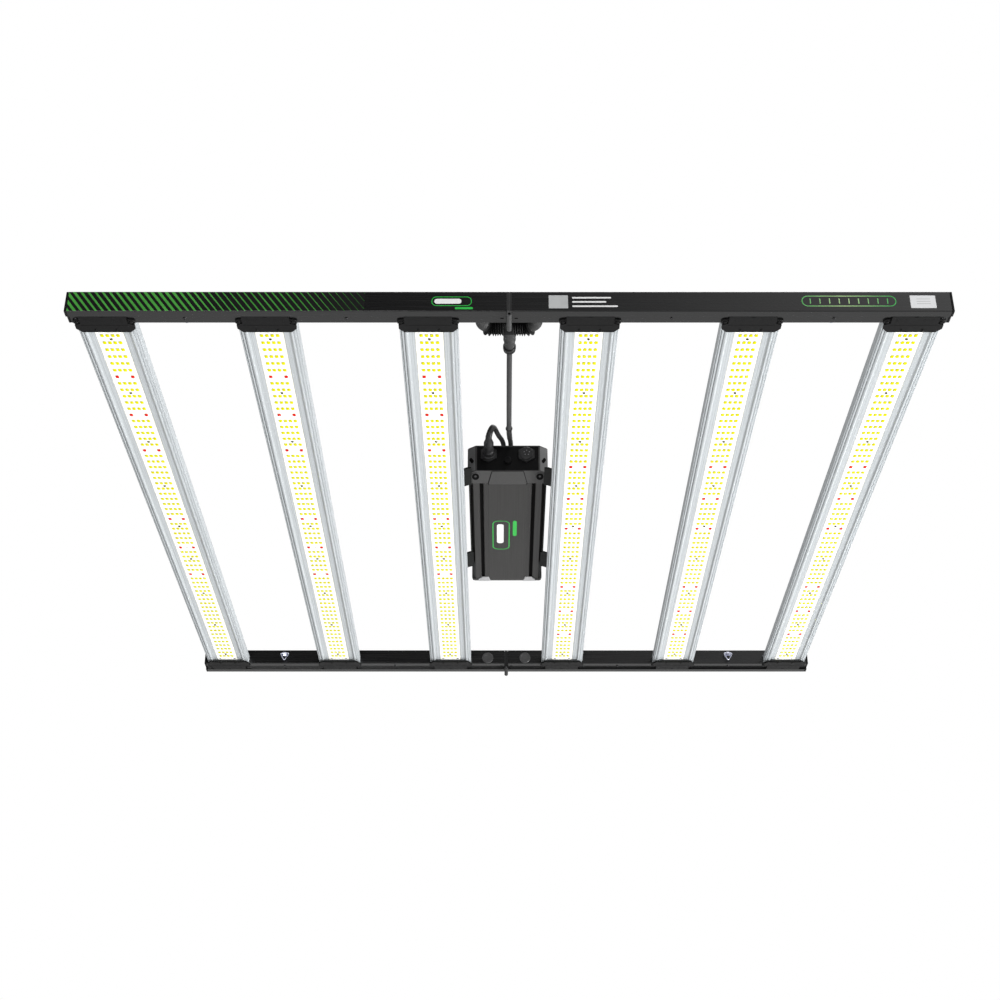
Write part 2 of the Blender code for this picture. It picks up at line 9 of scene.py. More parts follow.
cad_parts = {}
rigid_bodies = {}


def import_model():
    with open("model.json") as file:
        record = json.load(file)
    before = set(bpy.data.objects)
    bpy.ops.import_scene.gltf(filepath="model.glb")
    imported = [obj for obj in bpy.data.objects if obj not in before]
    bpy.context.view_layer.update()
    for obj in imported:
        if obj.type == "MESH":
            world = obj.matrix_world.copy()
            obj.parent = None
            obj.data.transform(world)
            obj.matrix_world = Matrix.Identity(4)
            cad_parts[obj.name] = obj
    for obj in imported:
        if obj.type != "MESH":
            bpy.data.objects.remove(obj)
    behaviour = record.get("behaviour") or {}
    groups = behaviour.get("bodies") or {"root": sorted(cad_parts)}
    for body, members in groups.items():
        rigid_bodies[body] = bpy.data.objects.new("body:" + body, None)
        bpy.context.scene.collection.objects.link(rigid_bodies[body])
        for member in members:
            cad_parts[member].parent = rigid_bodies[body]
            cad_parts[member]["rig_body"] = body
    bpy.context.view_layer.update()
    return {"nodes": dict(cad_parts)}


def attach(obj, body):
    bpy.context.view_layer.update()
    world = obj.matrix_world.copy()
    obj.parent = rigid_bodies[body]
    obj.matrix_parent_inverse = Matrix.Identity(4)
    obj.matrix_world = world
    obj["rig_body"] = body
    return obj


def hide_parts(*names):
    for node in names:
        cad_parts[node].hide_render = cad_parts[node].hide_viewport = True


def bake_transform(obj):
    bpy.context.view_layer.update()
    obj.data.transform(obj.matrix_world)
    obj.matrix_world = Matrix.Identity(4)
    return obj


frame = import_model()
MM = 0.001

# Driving dimensions, in mm above the face of the LED boards, as in the CAD.
HANG_Z = 15.5
BAR_PITCH, BAR_HALF, BAR_TOP, BAR_END = 198.54, 36.3, 12.0, 519.4
BOARD_HALF, BOARD_T, GAP = 17.5, 1.6, 0.3
BEAM_IN, BEAM_STEP, BEAM_OUT = 519.74, 537.7, 548.85
BEAM_UNDER, BEAM_LIP, BEAM_TOP = -2.25, -5.72, 24.1
GLAND_X, GLAND_Z = 33.3, 8.7
FOLD_Z = -10.0
HANGER_X, HANGER_Y, WIRE_R = 397.0, 514.0, 0.95
DRV_FRONT, DRV_SEAM, DRV_REAR = -126.5, -90.5, 228.0
DRV_HALF, DRV_BODY, DRV_LOW, DRV_TOP = 58.3, 54.4, 18.0, 61.0
SOCKET_X, SOCKET_Z, KNOB_Z = 27.5, 46.2, 34.4
CABLE_R, TEE_Y, TEE_NUT = 3.5, -497.0, -443.3
BAR_X = [(i - 2.5) * BAR_PITCH for i in range(6)]
HALF_OF_BAR = ["left_half"] * 3 + ["right_half"] * 3


def P(x, y, z):
    return Vector((x * MM, y * MM, (z - HANG_Z) * MM))


# ---------------------------------------------------------------- camera
cam_data = bpy.data.cameras.new("camera")
cam_data.lens, cam_data.sensor_width = 58.09, 36.0
cam_data.clip_start, cam_data.clip_end = 0.02, 60.0
camera = bpy.data.objects.new("camera", cam_data)
camera.location = (-0.0112, -2.1396, -1.1788)
camera.rotation_euler = (math.radians(90 + 29.374), 0, 0)
bpy.context.scene.collection.objects.link(camera)
bpy.context.scene.camera = camera


# ---------------------------------------------------------------- mesh building
class Build:
    """Collects vertices and faces, and makes one object of them."""

    def __init__(self):
        self.v, self.f, self.m = [], [], []

    def put(self, verts, faces, m=0):
        o = len(self.v)
        self.v += [tuple(p) for p in verts]
        self.f += [[o + i for i in f] for f in faces]
        self.m += [m] * len(faces)

    def rings(self, rings, m=0, closed=False, cap0=True, cap1=True):
        n, k = len(rings[0]), len(rings)
        verts = [p for r in rings for p in r]
        faces = []
        for a in range(k if closed else k - 1):
            b = (a + 1) % k
            for i in range(n):
                j = (i + 1) % n
                faces.append([a * n + i, a * n + j, b * n + j, b * n + i])
        if not closed and cap0:
            faces.append(list(range(n))[::-1])
        if not closed and cap1:
            faces.append([(k - 1) * n + i for i in range(n)])
        self.put(verts, faces, m)

    def prism(self, outline, axis, steps, m=0):
        """Outline (mm) extruded along an axis; steps are (position, inset) pairs for soft ends."""
        cx = sum(p[0] for p in outline) / len(outline)
        cy = sum(p[1] for p in outline) / len(outline)
        rings = []
        for t, inset in steps:
            ring = []
            for a, b in outline:
                d = math.hypot(a - cx, b - cy) or 1.0
                a, b = a - (a - cx) / d * inset, b - (b - cy) / d * inset
                ring.append({"X": lambda: P(t, a, b), "Y": lambda: P(a, t, b), "Z": lambda: P(a, b, t)}[axis]())
            rings.append(ring)
        self.rings(rings, m)

    def turned(self, centre, axis, profile, n, m=0, phase=0.5):
        """Turned about an axis: profile is (position along it, radius) in mm."""
        rings = []
        for t, r in profile:
            ring = []
            for i in range(n):
                a = math.tau * (i + phase) / n
                u, w = centre[0] + r * math.cos(a), centre[1] + r * math.sin(a)
                ring.append({"X": lambda: P(t, u, w), "Y": lambda: P(u, t, w), "Z": lambda: P(u, w, t)}[axis]())
            rings.append(ring)
        self.rings(rings, m)

    def swept(self, path, radii, n, m=0, closed=False, side=Vector((0, 0, 1)), flat=1.0):
        """Round tube along a path in one plane, whose normal is side. Points and radii in metres."""
        rings, k = [], len(path)
        for q in range(k):
            a = path[(q - 1) % k] if (closed or q > 0) else path[q]
            b = path[(q + 1) % k] if (closed or q < k - 1) else path[q]
            t = (b - a).normalized()
            u = side.normalized()
            w = t.cross(u).normalized()
            rings.append([path[q] + (u * math.cos(math.tau * i / n) * flat + w * math.sin(math.tau * i / n)) * radii[q]
                          for i in range(n)])
        self.rings(rings, m, closed)

    def make(self, name, materials, body=None, angle=32):
        me = bpy.data.meshes.new(name)
        me.from_pydata(self.v, [], self.f)
        bm = bmesh.new()
        bm.from_mesh(me)
        bmesh.ops.remove_doubles(bm, verts=bm.verts, dist=1e-7)
        bmesh.ops.recalc_face_normals(bm, faces=bm.faces)
        bm.to_mesh(me)
        bm.free()
        if len(me.polygons) == len(self.m):
            me.polygons.foreach_set("material_index", self.m)
        me.shade_smooth()
        me.set_sharp_from_angle(angle=math.radians(angle))
        ob = bpy.data.objects.new(name, me)
        bpy.context.scene.collection.objects.link(ob)
        for mt in materials:
            me.materials.append(mt)
        if body:
            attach(ob, body)
        return ob


def circle(cx, cy, r, n, turn=0.0):
    return [(cx + r * math.cos(math.tau * (i + turn) / n), cy + r * math.sin(math.tau * (i + turn) / n)) for i in range(n)]


def rounded(x0, x1, y0, y1, r, n=4):
    """Rounded rectangle outline."""
    pts = []
    for cx, cy, a0 in ((x1 - r, y1 - r, 0), (x0 + r, y1 - r, 90), (x0 + r, y0 + r, 180), (x1 - r, y0 + r, 270)):
        for k in range(n + 1):
            a = math.radians(a0 + 90 * k / n)
            pts.append((cx + r * math.cos(a), cy + r * math.sin(a)))
    return pts


def fillet(points, radii, n=3):
    """Outline with each corner rounded by its radius (0 keeps it sharp)."""
    out, count = [], len(points)
    for i in range(count):
        r = radii[i] if isinstance(radii, (list, tuple)) else radii
        p = Vector(points[i])
        a, b = Vector(points[i - 1]) - p, Vector(points[(i + 1) % count]) - p
        if r <= 0 or a.length < 1e-6 or b.length < 1e-6:
            out.append(tuple(p))
            continue
        half = a.angle(b) / 2
        if half > math.radians(86):
            out.append(tuple(p))
            continue
        cut = min(r / math.tan(half), a.length * 0.45, b.length * 0.45)
        r = cut * math.tan(half)
        a.normalize(), b.normalize()
        c = p + (a + b).normalized() * (r / math.sin(half))
        s, e = p + a * cut - c, p + b * cut - c
        for k in range(n + 1):
            t = k / n
            v = s.lerp(e, t)
            out.append(tuple(c + v.normalized() * r))
    return out


def smooth_spline(points, step):
    """Points about every step along a smooth centripetal curve through points."""
    pts = [2 * points[0] - points[1], *points, 2 * points[-1] - points[-2]]
    dense = []
    for p0, p1, p2, p3 in zip(pts, pts[1:], pts[2:], pts[3:]):
        t0 = 0.0
        t1 = t0 + (p1 - p0).length ** .5
        t2 = t1 + (p2 - p1).length ** .5
        t3 = t2 + (p3 - p2).length ** .5
        for k in range(24):
            t = t1 + (t2 - t1) * k / 24
            a1 = p0 * ((t1 - t) / (t1 - t0)) + p1 * ((t - t0) / (t1 - t0))
            a2 = p1 * ((t2 - t) / (t2 - t1)) + p2 * ((t - t1) / (t2 - t1))
            a3 = p2 * ((t3 - t) / (t3 - t2)) + p3 * ((t - t2) / (t3 - t2))
            b1 = a1 * ((t2 - t) / (t2 - t0)) + a2 * ((t - t0) / (t2 - t0))
            b2 = a2 * ((t3 - t) / (t3 - t1)) + a3 * ((t - t1) / (t3 - t1))
            dense.append(b1 * ((t2 - t) / (t2 - t1)) + b2 * ((t - t1) / (t2 - t1)))
    dense.append(points[-1].copy())
    lengths = [0.0]
    for a, b in zip(dense, dense[1:]):
        lengths.append(lengths[-1] + (b - a).length)
    count = max(2, round(lengths[-1] / step))
    out, k = [], 0
    for i in range(count + 1):
        s = lengths[-1] * i / count
        while k < len(dense) - 2 and lengths[k + 1] < s:
            k += 1
        f = (s - lengths[k]) / max(lengths[k + 1] - lengths[k], 1e-12)
        out.append(dense[k].lerp(dense[k + 1], min(max(f, 0), 1)))
    return out, lengths[-1]


# ---------------------------------------------------------------- materials
class Nodes:
    """Short hand for a node tree."""

    def __init__(self, material):
        self.t = material.node_tree

    def new(self, kind, **values):
        n = self.t.nodes.new(kind)
        for k, v in values.items():
            if isinstance(getattr(n, k, None), (str, bool, int, float)) or k in ("operation", "data_type", "blend_type"):
                setattr(n, k, v)
        return n

    def link(self, a, b):
        self.t.links.new(a, b)

    def coords(self, scale=(1, 1, 1), kind="Object"):
        c, m = self.new("ShaderNodeTexCoord"), self.new("ShaderNodeMapping")
        m.inputs["Scale"].default_value = scale
        self.link(c.outputs[kind], m.inputs["Vector"])
        return m.outputs["Vector"]

    def noise(self, scale, size=1.0, detail=3.0, rough=0.55):
        n = self.new("ShaderNodeTexNoise")
        n.inputs["Scale"].default_value = size
        n.inputs["Detail"].default_value = detail
        n.inputs["Roughness"].default_value = rough
        self.link(self.coords(scale), n.inputs["Vector"])
        return n.outputs["Fac"]

    def math(self, op, a, b=0.0, clamp=False):
        n = self.new("ShaderNodeMath")
        n.operation, n.use_clamp = op, clamp
        for i, v in enumerate((a, b)):
            if isinstance(v, (int, float)):
                n.inputs[i].default_value = v
            else:
                self.link(v, n.inputs[i])
        return n.outputs[0]

    def span(self, value, lo, hi, to_lo, to_hi):
        n = self.new("ShaderNodeMapRange")
        n.inputs["From Min"].default_value, n.inputs["From Max"].default_value = lo, hi
        n.inputs["To Min"].default_value, n.inputs["To Max"].default_value = to_lo, to_hi
        self.link(value, n.inputs["Value"])
        return n.outputs["Result"]

    def mix(self, fac, a, b):
        n = self.new("ShaderNodeMix")
        n.data_type = "RGBA"
        for i, v in ((0, fac), (6, a), (7, b)):
            if isinstance(v, (int, float)):
                n.inputs[i].default_value = v
            elif isinstance(v, (tuple, list)):
                n.inputs[i].default_value = (*v[:3], 1.0)
            else:
                self.link(v, n.inputs[i])
        return n.outputs[2]

    def axis(self, name):
        s, c = self.new("ShaderNodeSeparateXYZ"), self.new("ShaderNodeTexCoord")
        self.link(c.outputs["Object"], s.inputs[0])
        return s.outputs[name]


def shader(name, colour, rough, metal=0.0, streak=(60, 60, 60), vary=0.10, rough_vary=0.08, grain=900, bump=0.12,
           depth=0.02, speck=None, coat=0.0, specular=0.5, glow=None, glow_strength=0.0, clouds=None):
    """A surface with cloudy colour change, a directional streak in its gloss and a fine grain."""
    m = bpy.data.materials.new(name)
    m.use_nodes = True
    q = Nodes(m)
    b = m.node_tree.nodes["Principled BSDF"]
    dark = tuple(c * (1 - vary) for c in colour)
    light = tuple(min(1.0, c * (1 + vary)) for c in colour)
    clouds = q.noise(clouds or (6, 6, 6), 1.0, 4.0)
    lines = q.noise(streak, 1.0, 3.0, 0.6)
    fine = q.noise((grain, grain, grain), 1.0, 2.0)
    both = q.math("ADD", q.math("MULTIPLY", clouds, 0.5), q.math("MULTIPLY", lines, 0.5))
    base = q.mix(q.span(both, 0.35, 0.65, 0, 1), dark, light)
    if speck:
        base = q.mix(q.math("MULTIPLY", q.span(fine, 0.60, 0.72, 0, 1), speck[1]), base, speck[0])
    q.link(base, b.inputs["Base Color"])
    q.link(q.span(lines, 0.3, 0.7, max(0.03, rough - rough_vary), min(1, rough + rough_vary)), b.inputs["Roughness"])
    b.inputs["Metallic"].default_value = metal
    b.inputs["Specular IOR Level"].default_value = specular
    if coat:
        b.inputs["Coat Weight"].default_value = coat
        b.inputs["Coat Roughness"].default_value = 0.2
    bp = q.new("ShaderNodeBump")
    bp.inputs["Strength"].default_value = bump
    bp.inputs["Distance"].default_value = depth * MM
    q.link(q.math("ADD", q.math("MULTIPLY", lines, 0.7), q.math("MULTIPLY", fine, 0.6)), bp.inputs["Height"])
    q.link(bp.outputs["Normal"], b.inputs["Normal"])
    if glow:
        b.inputs["Emission Color"].default_value = (*glow, 1)
        b.inputs["Emission Strength"].default_value = glow_strength
    return m


def srgb(r, g, b):
    return tuple((c / 255 / 12.92) if c / 255 <= 0.04045 else ((c / 255 + 0.055) / 1.055) ** 2.4 for c in (r, g, b))


M_BAR = shader("anodised_extrusion", (0.522, 0.552, 0.569), 0.30, 0.22, streak=(1400, 5, 1400), vary=0.05, rough_vary=0.09,
               grain=2500, bump=0.25, depth=0.03, clouds=(9, 3, 9))
M_BEAM = shader("black_anodised_beam", (0.0056, 0.0056, 0.0058), 0.26, 0.0, streak=(7, 900, 900), vary=0.18, rough_vary=0.07,
                grain=2600, bump=0.28, depth=0.025, specular=0.52, speck=((0.014, 0.014, 0.015), 0.35))
M_CAP = shader("moulded_cap_plastic", (0.0048, 0.0048, 0.0050), 0.46, 0.0, streak=(260, 260, 260), vary=0.18, rough_vary=0.07,
               grain=3200, bump=0.5, depth=0.05, specular=0.16, speck=((0.014, 0.014, 0.014), 0.35))
M_LEAF = shader("hinge_casting", (0.050, 0.050, 0.051), 0.40, 0.1, streak=(180, 180, 180), vary=0.14, rough_vary=0.08,
                grain=2200, bump=0.5, depth=0.05, specular=0.7)
# Painted light: a grey much lighter than the black cap and beam, for the recessed screw bosses.
M_BOSS_PAINTED_LIGHT = shader("cap_boss_painted_light", (0.034, 0.034, 0.034), 0.42, 0.0, streak=(200, 200, 200), vary=0.14, rough_vary=0.08,
                grain=2400, bump=0.4, depth=0.04, specular=0.4)
# Painted shade: a darker copy of the hinge casting, given to the rear leaves only.
M_LEAF_PAINTED_SHADE = shader("hinge_casting_painted_shade", (0.010, 0.010, 0.0105), 0.42, 0.0, streak=(180, 180, 180), vary=0.14,
                     rough_vary=0.08, grain=2200, bump=0.5, depth=0.05, specular=0.35)
# Painted shade: a grey for the floors of the fine bar grooves, darker than the bar.
M_GROOVE_PAINTED_SHADE = shader("painted_groove_shade", (0.13, 0.138, 0.142), 0.45, 0.15, streak=(900, 6, 900), vary=0.10,
                  rough_vary=0.08, grain=2600, bump=0.3, depth=0.03, specular=0.3)
M_BRACKET = shader("painted_bracket_steel", (0.0036, 0.0044, 0.0038), 0.42, 0.0, streak=(220, 220, 220), vary=0.25,
                   grain=2600, bump=0.5, depth=0.05, specular=0.12)
M_ZINC = shader("zinc_plated_wire", (0.66, 0.68, 0.80), 0.24, 1.0, streak=(300, 300, 300), vary=0.12, rough_vary=0.1,
                grain=2600, bump=0.3, depth=0.03)
M_STEEL = shader("turned_pin_steel", (0.36, 0.36, 0.37), 0.32, 1.0, streak=(500, 30, 500), vary=0.12, grain=2600, bump=0.3)
M_SCREW = shader("black_oxide_screw", (0.045, 0.045, 0.047), 0.36, 0.8, streak=(900, 900, 900), vary=0.2, grain=3000,
                 bump=0.3)
M_RUBBER = shader("splitter_rubber", (0.034, 0.034, 0.034), 0.55, 0.0, streak=(120, 120, 120), vary=0.14, rough_vary=0.08,
                  grain=1900, bump=0.45, depth=0.06, specular=0.35)
M_BELLOWS = shader("bellows_rubber", (0.0042, 0.0042, 0.0043), 0.60, 0.0, streak=(120, 120, 120), vary=0.2, grain=1900,
                   bump=0.4, depth=0.05, specular=0.2)
M_NUT = shader("nut_plastic", (0.0065, 0.0065, 0.0068), 0.40, 0.0, streak=(200, 200, 200), vary=0.2, grain=2600, bump=0.4,
               depth=0.04, specular=0.35)
M_CABLE = shader("cable_jacket", (0.036, 0.036, 0.037), 0.48, 0.0, streak=(90, 90, 90), vary=0.14, rough_vary=0.1,
                 grain=1500, bump=0.5, depth=0.06, specular=0.4)
M_PLUG = shader("plug_overmould", (0.013, 0.013, 0.0135), 0.48, 0.0, streak=(150, 150, 150), vary=0.18, grain=2200,
                bump=0.45, depth=0.05, specular=0.35)
M_CASE = shader("driver_case_paint", (0.0160, 0.0152, 0.0144), 0.36, 0.0, streak=(500, 6, 500), vary=0.10, rough_vary=0.07,
                grain=2400, bump=0.5, depth=0.04, specular=0.38, speck=((0.040, 0.038, 0.036), 0.3))
M_CASE_CAST = shader("driver_end_casting", (0.047, 0.0465, 0.046), 0.42, 0.0, streak=(150, 150, 150), vary=0.12,
                     rough_vary=0.08, grain=2000, bump=0.6, depth=0.06, specular=0.25, speck=((0.085, 0.085, 0.085), 0.3))
# Painted light: a lighter grey laid on the driver's chamfers, which are the same casting as the front cap.
M_CHAMFER_PAINTED_LIGHT = shader("driver_chamfer_painted_light", (0.125, 0.125, 0.125), 0.42, 0.0, streak=(150, 150, 150), vary=0.10,
                   rough_vary=0.08, grain=2000, bump=0.6, depth=0.05, specular=0.4, speck=((0.18, 0.18, 0.18), 0.3))
M_PANEL = shader("front_panel_film", (0.0020, 0.0020, 0.0021), 0.50, 0.0, streak=(200, 200, 200), vary=0.25, grain=3000,
                 bump=0.3, depth=0.02, specular=0.12)
M_SOCKET = shader("connector_plastic", (0.0165, 0.0165, 0.017), 0.36, 0.0, streak=(250, 250, 250), vary=0.2, grain=2800,
                  bump=0.35, depth=0.04, specular=0.4)
M_BRIGHT = shader("milled_edge", (0.62, 0.62, 0.63), 0.30, 0.9, streak=(30, 900, 900), vary=0.1, grain=2600, bump=0.3)
M_PCB = shader("circuit_laminate", (0.03, 0.16, 0.07), 0.45, 0.0, streak=(80, 80, 80), vary=0.2, grain=1200, bump=0.3)
M_PHOS = shader("phosphor", (0.73, 0.70, 0.0), 0.45, 0.0, streak=(900, 900, 900), vary=0.06, grain=3000, bump=0.2,
                specular=0.03)
M_RED = shader("red_emitter", (0.70, 0.004, 0.003), 0.40, 0.0, streak=(900, 900, 900), vary=0.08, grain=3000, bump=0.2,
               specular=0.10)
# Painted shade: a dark olive for the LED package sides.
M_LED_SIDE_PAINTED_SHADE = shader("led_side_painted_shade", (0.20, 0.185, 0.004), 0.5, 0.0, streak=(900, 900, 900), vary=0.08, grain=3000,
                   bump=0.2, specular=0.1)
M_CHIP = shader("small_chip", (0.33, 0.36, 0.22), 0.45, 0.0, streak=(900, 900, 900), vary=0.2, grain=3000, bump=0.2)
M_BSCREW = shader("board_screw", (0.10, 0.095, 0.03), 0.38, 0.5, streak=(900, 900, 900), vary=0.25, grain=3000, bump=0.3)
M_PLATE = shader("rating_plate", (0.80, 0.81, 0.82), 0.42, 0.0, streak=(40, 700, 700), vary=0.03, grain=2500, bump=0.15,
                 depth=0.02)
M_GREY = shader("label_grey", (0.46, 0.47, 0.47), 0.5, 0.0, streak=(90, 90, 90), vary=0.08, grain=2500, bump=0.15)
M_WHITE_INK = shader("white_ink", (0.82, 0.82, 0.82), 0.5, 0.0, streak=(200, 200, 200), vary=0.05, grain=2500, bump=0.15)
M_GREEN_INK = shader("green_ink", srgb(38, 178, 66), 0.45, 0.0, streak=(200, 200, 200), vary=0.10, grain=2500, bump=0.15)
# Painted shade: near-black laid in holes, slots, recesses and groove floors.
M_HOLE_PAINTED_SHADE = shader("hole_shade", (0.0025, 0.0025, 0.0025), 0.7, 0.0, streak=(200, 200, 200), vary=0.2, grain=2500,
                    bump=0.2, specular=0.03)


def board_material():
    """White solder mask with a thin bare edge line, a faint seam of copper under the mask, and a faint glow of painted
    light.
    """
    m = bpy.data.materials.new("solder_mask_white")
    m.use_nodes = True
    q = Nodes(m)
    b = m.node_tree.nodes["Principled BSDF"]
    x = q.axis("X")
    u = q.math("SUBTRACT", q.math("MODULO", q.math("ADD", x, 3 * BAR_PITCH * MM), BAR_PITCH * MM), BAR_PITCH / 2 * MM)
    off = q.math("ABSOLUTE", u)
    edge = q.span(off, 16.9 * MM, 17.15 * MM, 0, 1)
    trace = q.noise((160, 160, 1), 1.0, 1.0, 0.4)
    cloudy = q.noise((12, 12, 12), 1.0, 3.0)
    base = q.mix(q.span(trace, 0.46, 0.54, 0, 1), (0.87, 0.87, 0.83), (0.93, 0.93, 0.915))
    base = q.mix(q.math("MULTIPLY", cloudy, 0.12), base, (0.88, 0.86, 0.74))
    base = q.mix(q.math("MULTIPLY", edge, 0.55), base, (0.62, 0.56, 0.36))
    q.link(base, b.inputs["Base Color"])
    q.link(q.span(cloudy, 0.3, 0.7, 0.36, 0.52), b.inputs["Roughness"])
    bp = q.new("ShaderNodeBump")
    bp.inputs["Strength"].default_value = 0.25
    bp.inputs["Distance"].default_value = 0.02 * MM
    q.link(trace, bp.inputs["Height"])
    q.link(bp.outputs["Normal"], b.inputs["Normal"])
    # Painted light: the board itself glows faintly.
    b.inputs["Emission Color"].default_value = (1.0, 1.0, 0.96, 1)
    b.inputs["Emission Strength"].default_value = 0.18
    return m


M_BOARD = board_material()


def hatch_material():
    """A plain printed strip: slanted green pinstripes that thin out to the right over black paint."""
    m = bpy.data.materials.new("printed_strip")
    m.use_nodes = True
    q = Nodes(m)
    b = m.node_tree.nodes["Principled BSDF"]
    x, z = q.axis("X"), q.axis("Z")
    along = q.span(x, -0.537, -0.176, 0, 1)
    slant = q.math("ADD", q.math("MULTIPLY", x, 1000 / 8.6), q.math("MULTIPLY", z, 1000 / 11.5))
    wave = q.math("PINGPONG", slant, 0.5)
    width = q.span(along, 0.0, 1.0, 0.66, 0.10)
    swell = q.math("ADD", 0.78, q.math("MULTIPLY", q.math("SINE", q.math("MULTIPLY", x, 41.0)), 0.22))
    line = q.math("LESS_THAN", q.math("MULTIPLY", wave, 2.0), q.math("MULTIPLY", width, swell))
    fade = q.span(along, 0.7, 1.0, 1.0, 0.55)
    ink = q.math("MULTIPLY", line, fade, True)
    cloudy = q.noise((25, 25, 25), 1.0, 3.0)
    green = q.mix(cloudy, srgb(40, 112, 36), srgb(82, 168, 70))
    base = q.mix(ink, (0.0030, 0.0030, 0.0031), green)
    b.inputs["Specular IOR Level"].default_value = 0.3
    q.link(base, b.inputs["Base Color"])
    fine = q.noise((1400, 1400, 1400), 1.0, 2.0)
    q.link(q.span(fine, 0.3, 0.7, 0.38, 0.52), b.inputs["Roughness"])
    bp = q.new("ShaderNodeBump")
    bp.inputs["Strength"].default_value = 0.2
    bp.inputs["Distance"].default_value = 0.02 * MM
    q.link(fine, bp.inputs["Height"])
    q.link(bp.outputs["Normal"], b.inputs["Normal"])
    return m


M_HATCH = hatch_material()


def gradient_ink():
    m = bpy.data.materials.new("pale_green_ink")
    m.use_nodes = True
    q = Nodes(m)
    b = m.node_tree.nodes["Principled BSDF"]
    x = q.axis("X")
    mid = q.math("ABSOLUTE", q.math("SUBTRACT", q.span(x, 0.355, 0.471, 0, 1), 0.45))
    base = q.mix(q.span(mid, 0.0, 0.5, 0, 1), srgb(190, 226, 160), srgb(62, 178, 84))
    base = q.mix(q.math("MULTIPLY", q.noise((200, 200, 200)), 0.15), base, srgb(40, 120, 50))
    q.link(base, b.inputs["Base Color"])
    b.inputs["Roughness"].default_value = 0.42
    return m


M_PALE = gradient_ink()


# ---------------------------------------------------------------- finer copies of CAD solids
def assign(node, material):
    ob = frame["nodes"][node]
    if len(ob.data.materials) == 0:
        ob.data.materials.append(material)
    for s in ob.material_slots:
        s.link = "OBJECT"
        s.material = material


def refine(node, material, width=0.3, segments=2, angle=24, name=None):
    """The same solid with its edges broken, as a moulding, casting or extrusion has them."""
    src = frame["nodes"][node]
    me = src.data.copy()
    bm = bmesh.new()
    bm.from_mesh(me)
    bmesh.ops.remove_doubles(bm, verts=bm.verts, dist=3e-6)
    bmesh.ops.dissolve_limit(bm, angle_limit=math.radians(0.8), verts=bm.verts, edges=bm.edges)
    bmesh.ops.recalc_face_normals(bm, faces=bm.faces)
    bm.to_mesh(me)
    bm.free()
    me.materials.clear()
    me.materials.append(material)
    for a in ("custom_normal", "sharp_edge", "sharp_face"):
        if a in me.attributes:
            me.attributes.remove(me.attributes[a])
    me.shade_smooth()
    me.set_sharp_from_angle(angle=math.radians(angle))
    ob = bpy.data.objects.new(name or node + "_finished", me)
    bpy.context.scene.collection.objects.link(ob)
    bv = ob.modifiers.new("edges", "BEVEL")
    bv.width = width * MM
    bv.segments = segments
    bv.limit_method = "ANGLE"
    bv.angle_limit = math.radians(angle)
    bv.harden_normals = True
    bv.use_clamp_overlap = True
    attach(ob, src["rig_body"])
    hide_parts(node)
    return ob


# ---------------------------------------------------------------- light bars
def bar_section():
    """Half section, then mirrored: rounded ridge, stepped outer strip, grooved side wall, slotted fins."""
    right = [(BOARD_HALF + GAP, 0.15, 0), (BOARD_HALF + GAP + 0.5, 0.0, 0.2), (25.3, 0.0, 0.5), (26.0, -0.25, 0.3),
             (27.7, -1.8, 0.35), (28.6, -1.8, 0.35), (30.3, -1.2, 0.2), (30.5, -0.3, 0.1), (31.3, -0.3, 0.1), (31.5, -0.95, 0.15),
             (33.6, -0.75, 0.2), (33.9, 0.1, 0.1), (34.7, 0.1, 0.1), (34.9, -0.35, 0.15), (35.7, -0.15, 0.3),
             (BAR_HALF, 0.6, 0.3),
             (BAR_HALF, 2.9, 0.15), (BAR_HALF - 0.7, 3.3, 0.15), (BAR_HALF - 0.7, 4.5, 0.15), (BAR_HALF, 4.9, 0.15),
             (BAR_HALF, 7.3, 0.15), (BAR_HALF - 0.7, 7.7, 0.15), (BAR_HALF - 0.7, 8.9, 0.15), (BAR_HALF, 9.3, 0.15),
             (BAR_HALF, BAR_TOP, 0.4), (BAR_HALF - 1.8, BAR_TOP, 0.4), (BAR_HALF - 1.8, 3.6, 0.8)]
    for fin in (21.1, 7.0):
        right += [(fin + 0.9, 3.6, 0.6), (fin + 0.8, BAR_TOP, 0.5), (fin - 0.8, BAR_TOP, 0.5), (fin - 0.9, 3.6, 0.6)]
    left = [(-x, z, r) for x, z, r in reversed(right)]
    pts = [(BOARD_HALF + GAP, BOARD_T + GAP, 0.1)] + right + left + [(-BOARD_HALF - GAP, BOARD_T + GAP, 0.1)]
    return fillet([(x, z) for x, z, r in pts], [r for x, z, r in pts], 2)


SECTION = bar_section()
for i, cx in enumerate(BAR_X):
    b = Build()
    cells = [(-BAR_END, 0.0), (-BAR_END + 0.2, 0.0), (0.0, 0.0), (BAR_END - 0.2, 0.0), (BAR_END, 0.0)]
    b.rings([[P(cx + x, y, z) for x, z in SECTION] for y, _ in cells])
    for x0, x1, z in ((-31.25, -30.55, -0.33), (-34.65, -33.95, 0.07)):  # painted shade: darker strips at the bottom of the fine grooves, laid on the -X side of each bar only
        b.prism([(cx + u, v) for u, v in rounded(x0, x1, -BAR_END + 0.4, BAR_END - 0.4, 0.1, 2)], "Z", [(z + 0.2, 0), (z, 0)], 1)
    bar = b.make(f"light_bar_{i + 1}_extrusion", [M_BAR, M_GROOVE_PAINTED_SHADE], HALF_OF_BAR[i], angle=28)
    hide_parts(f"light_bar_{i + 1}")
    assign(f"led_board_{i + 1}", M_BOARD)


# ---------------------------------------------------------------- LEDs, chips and screws on the boards
ROW_PITCH, ROWS = 15.32, 65
RED_ROWS = {"left_half": (6, 12, 18, 31, 37, 43), "right_half": (21, 27, 33, 46, 52, 58)}
CHIP_ROWS = {"left_half": (31, 37), "right_half": (27, 33)}


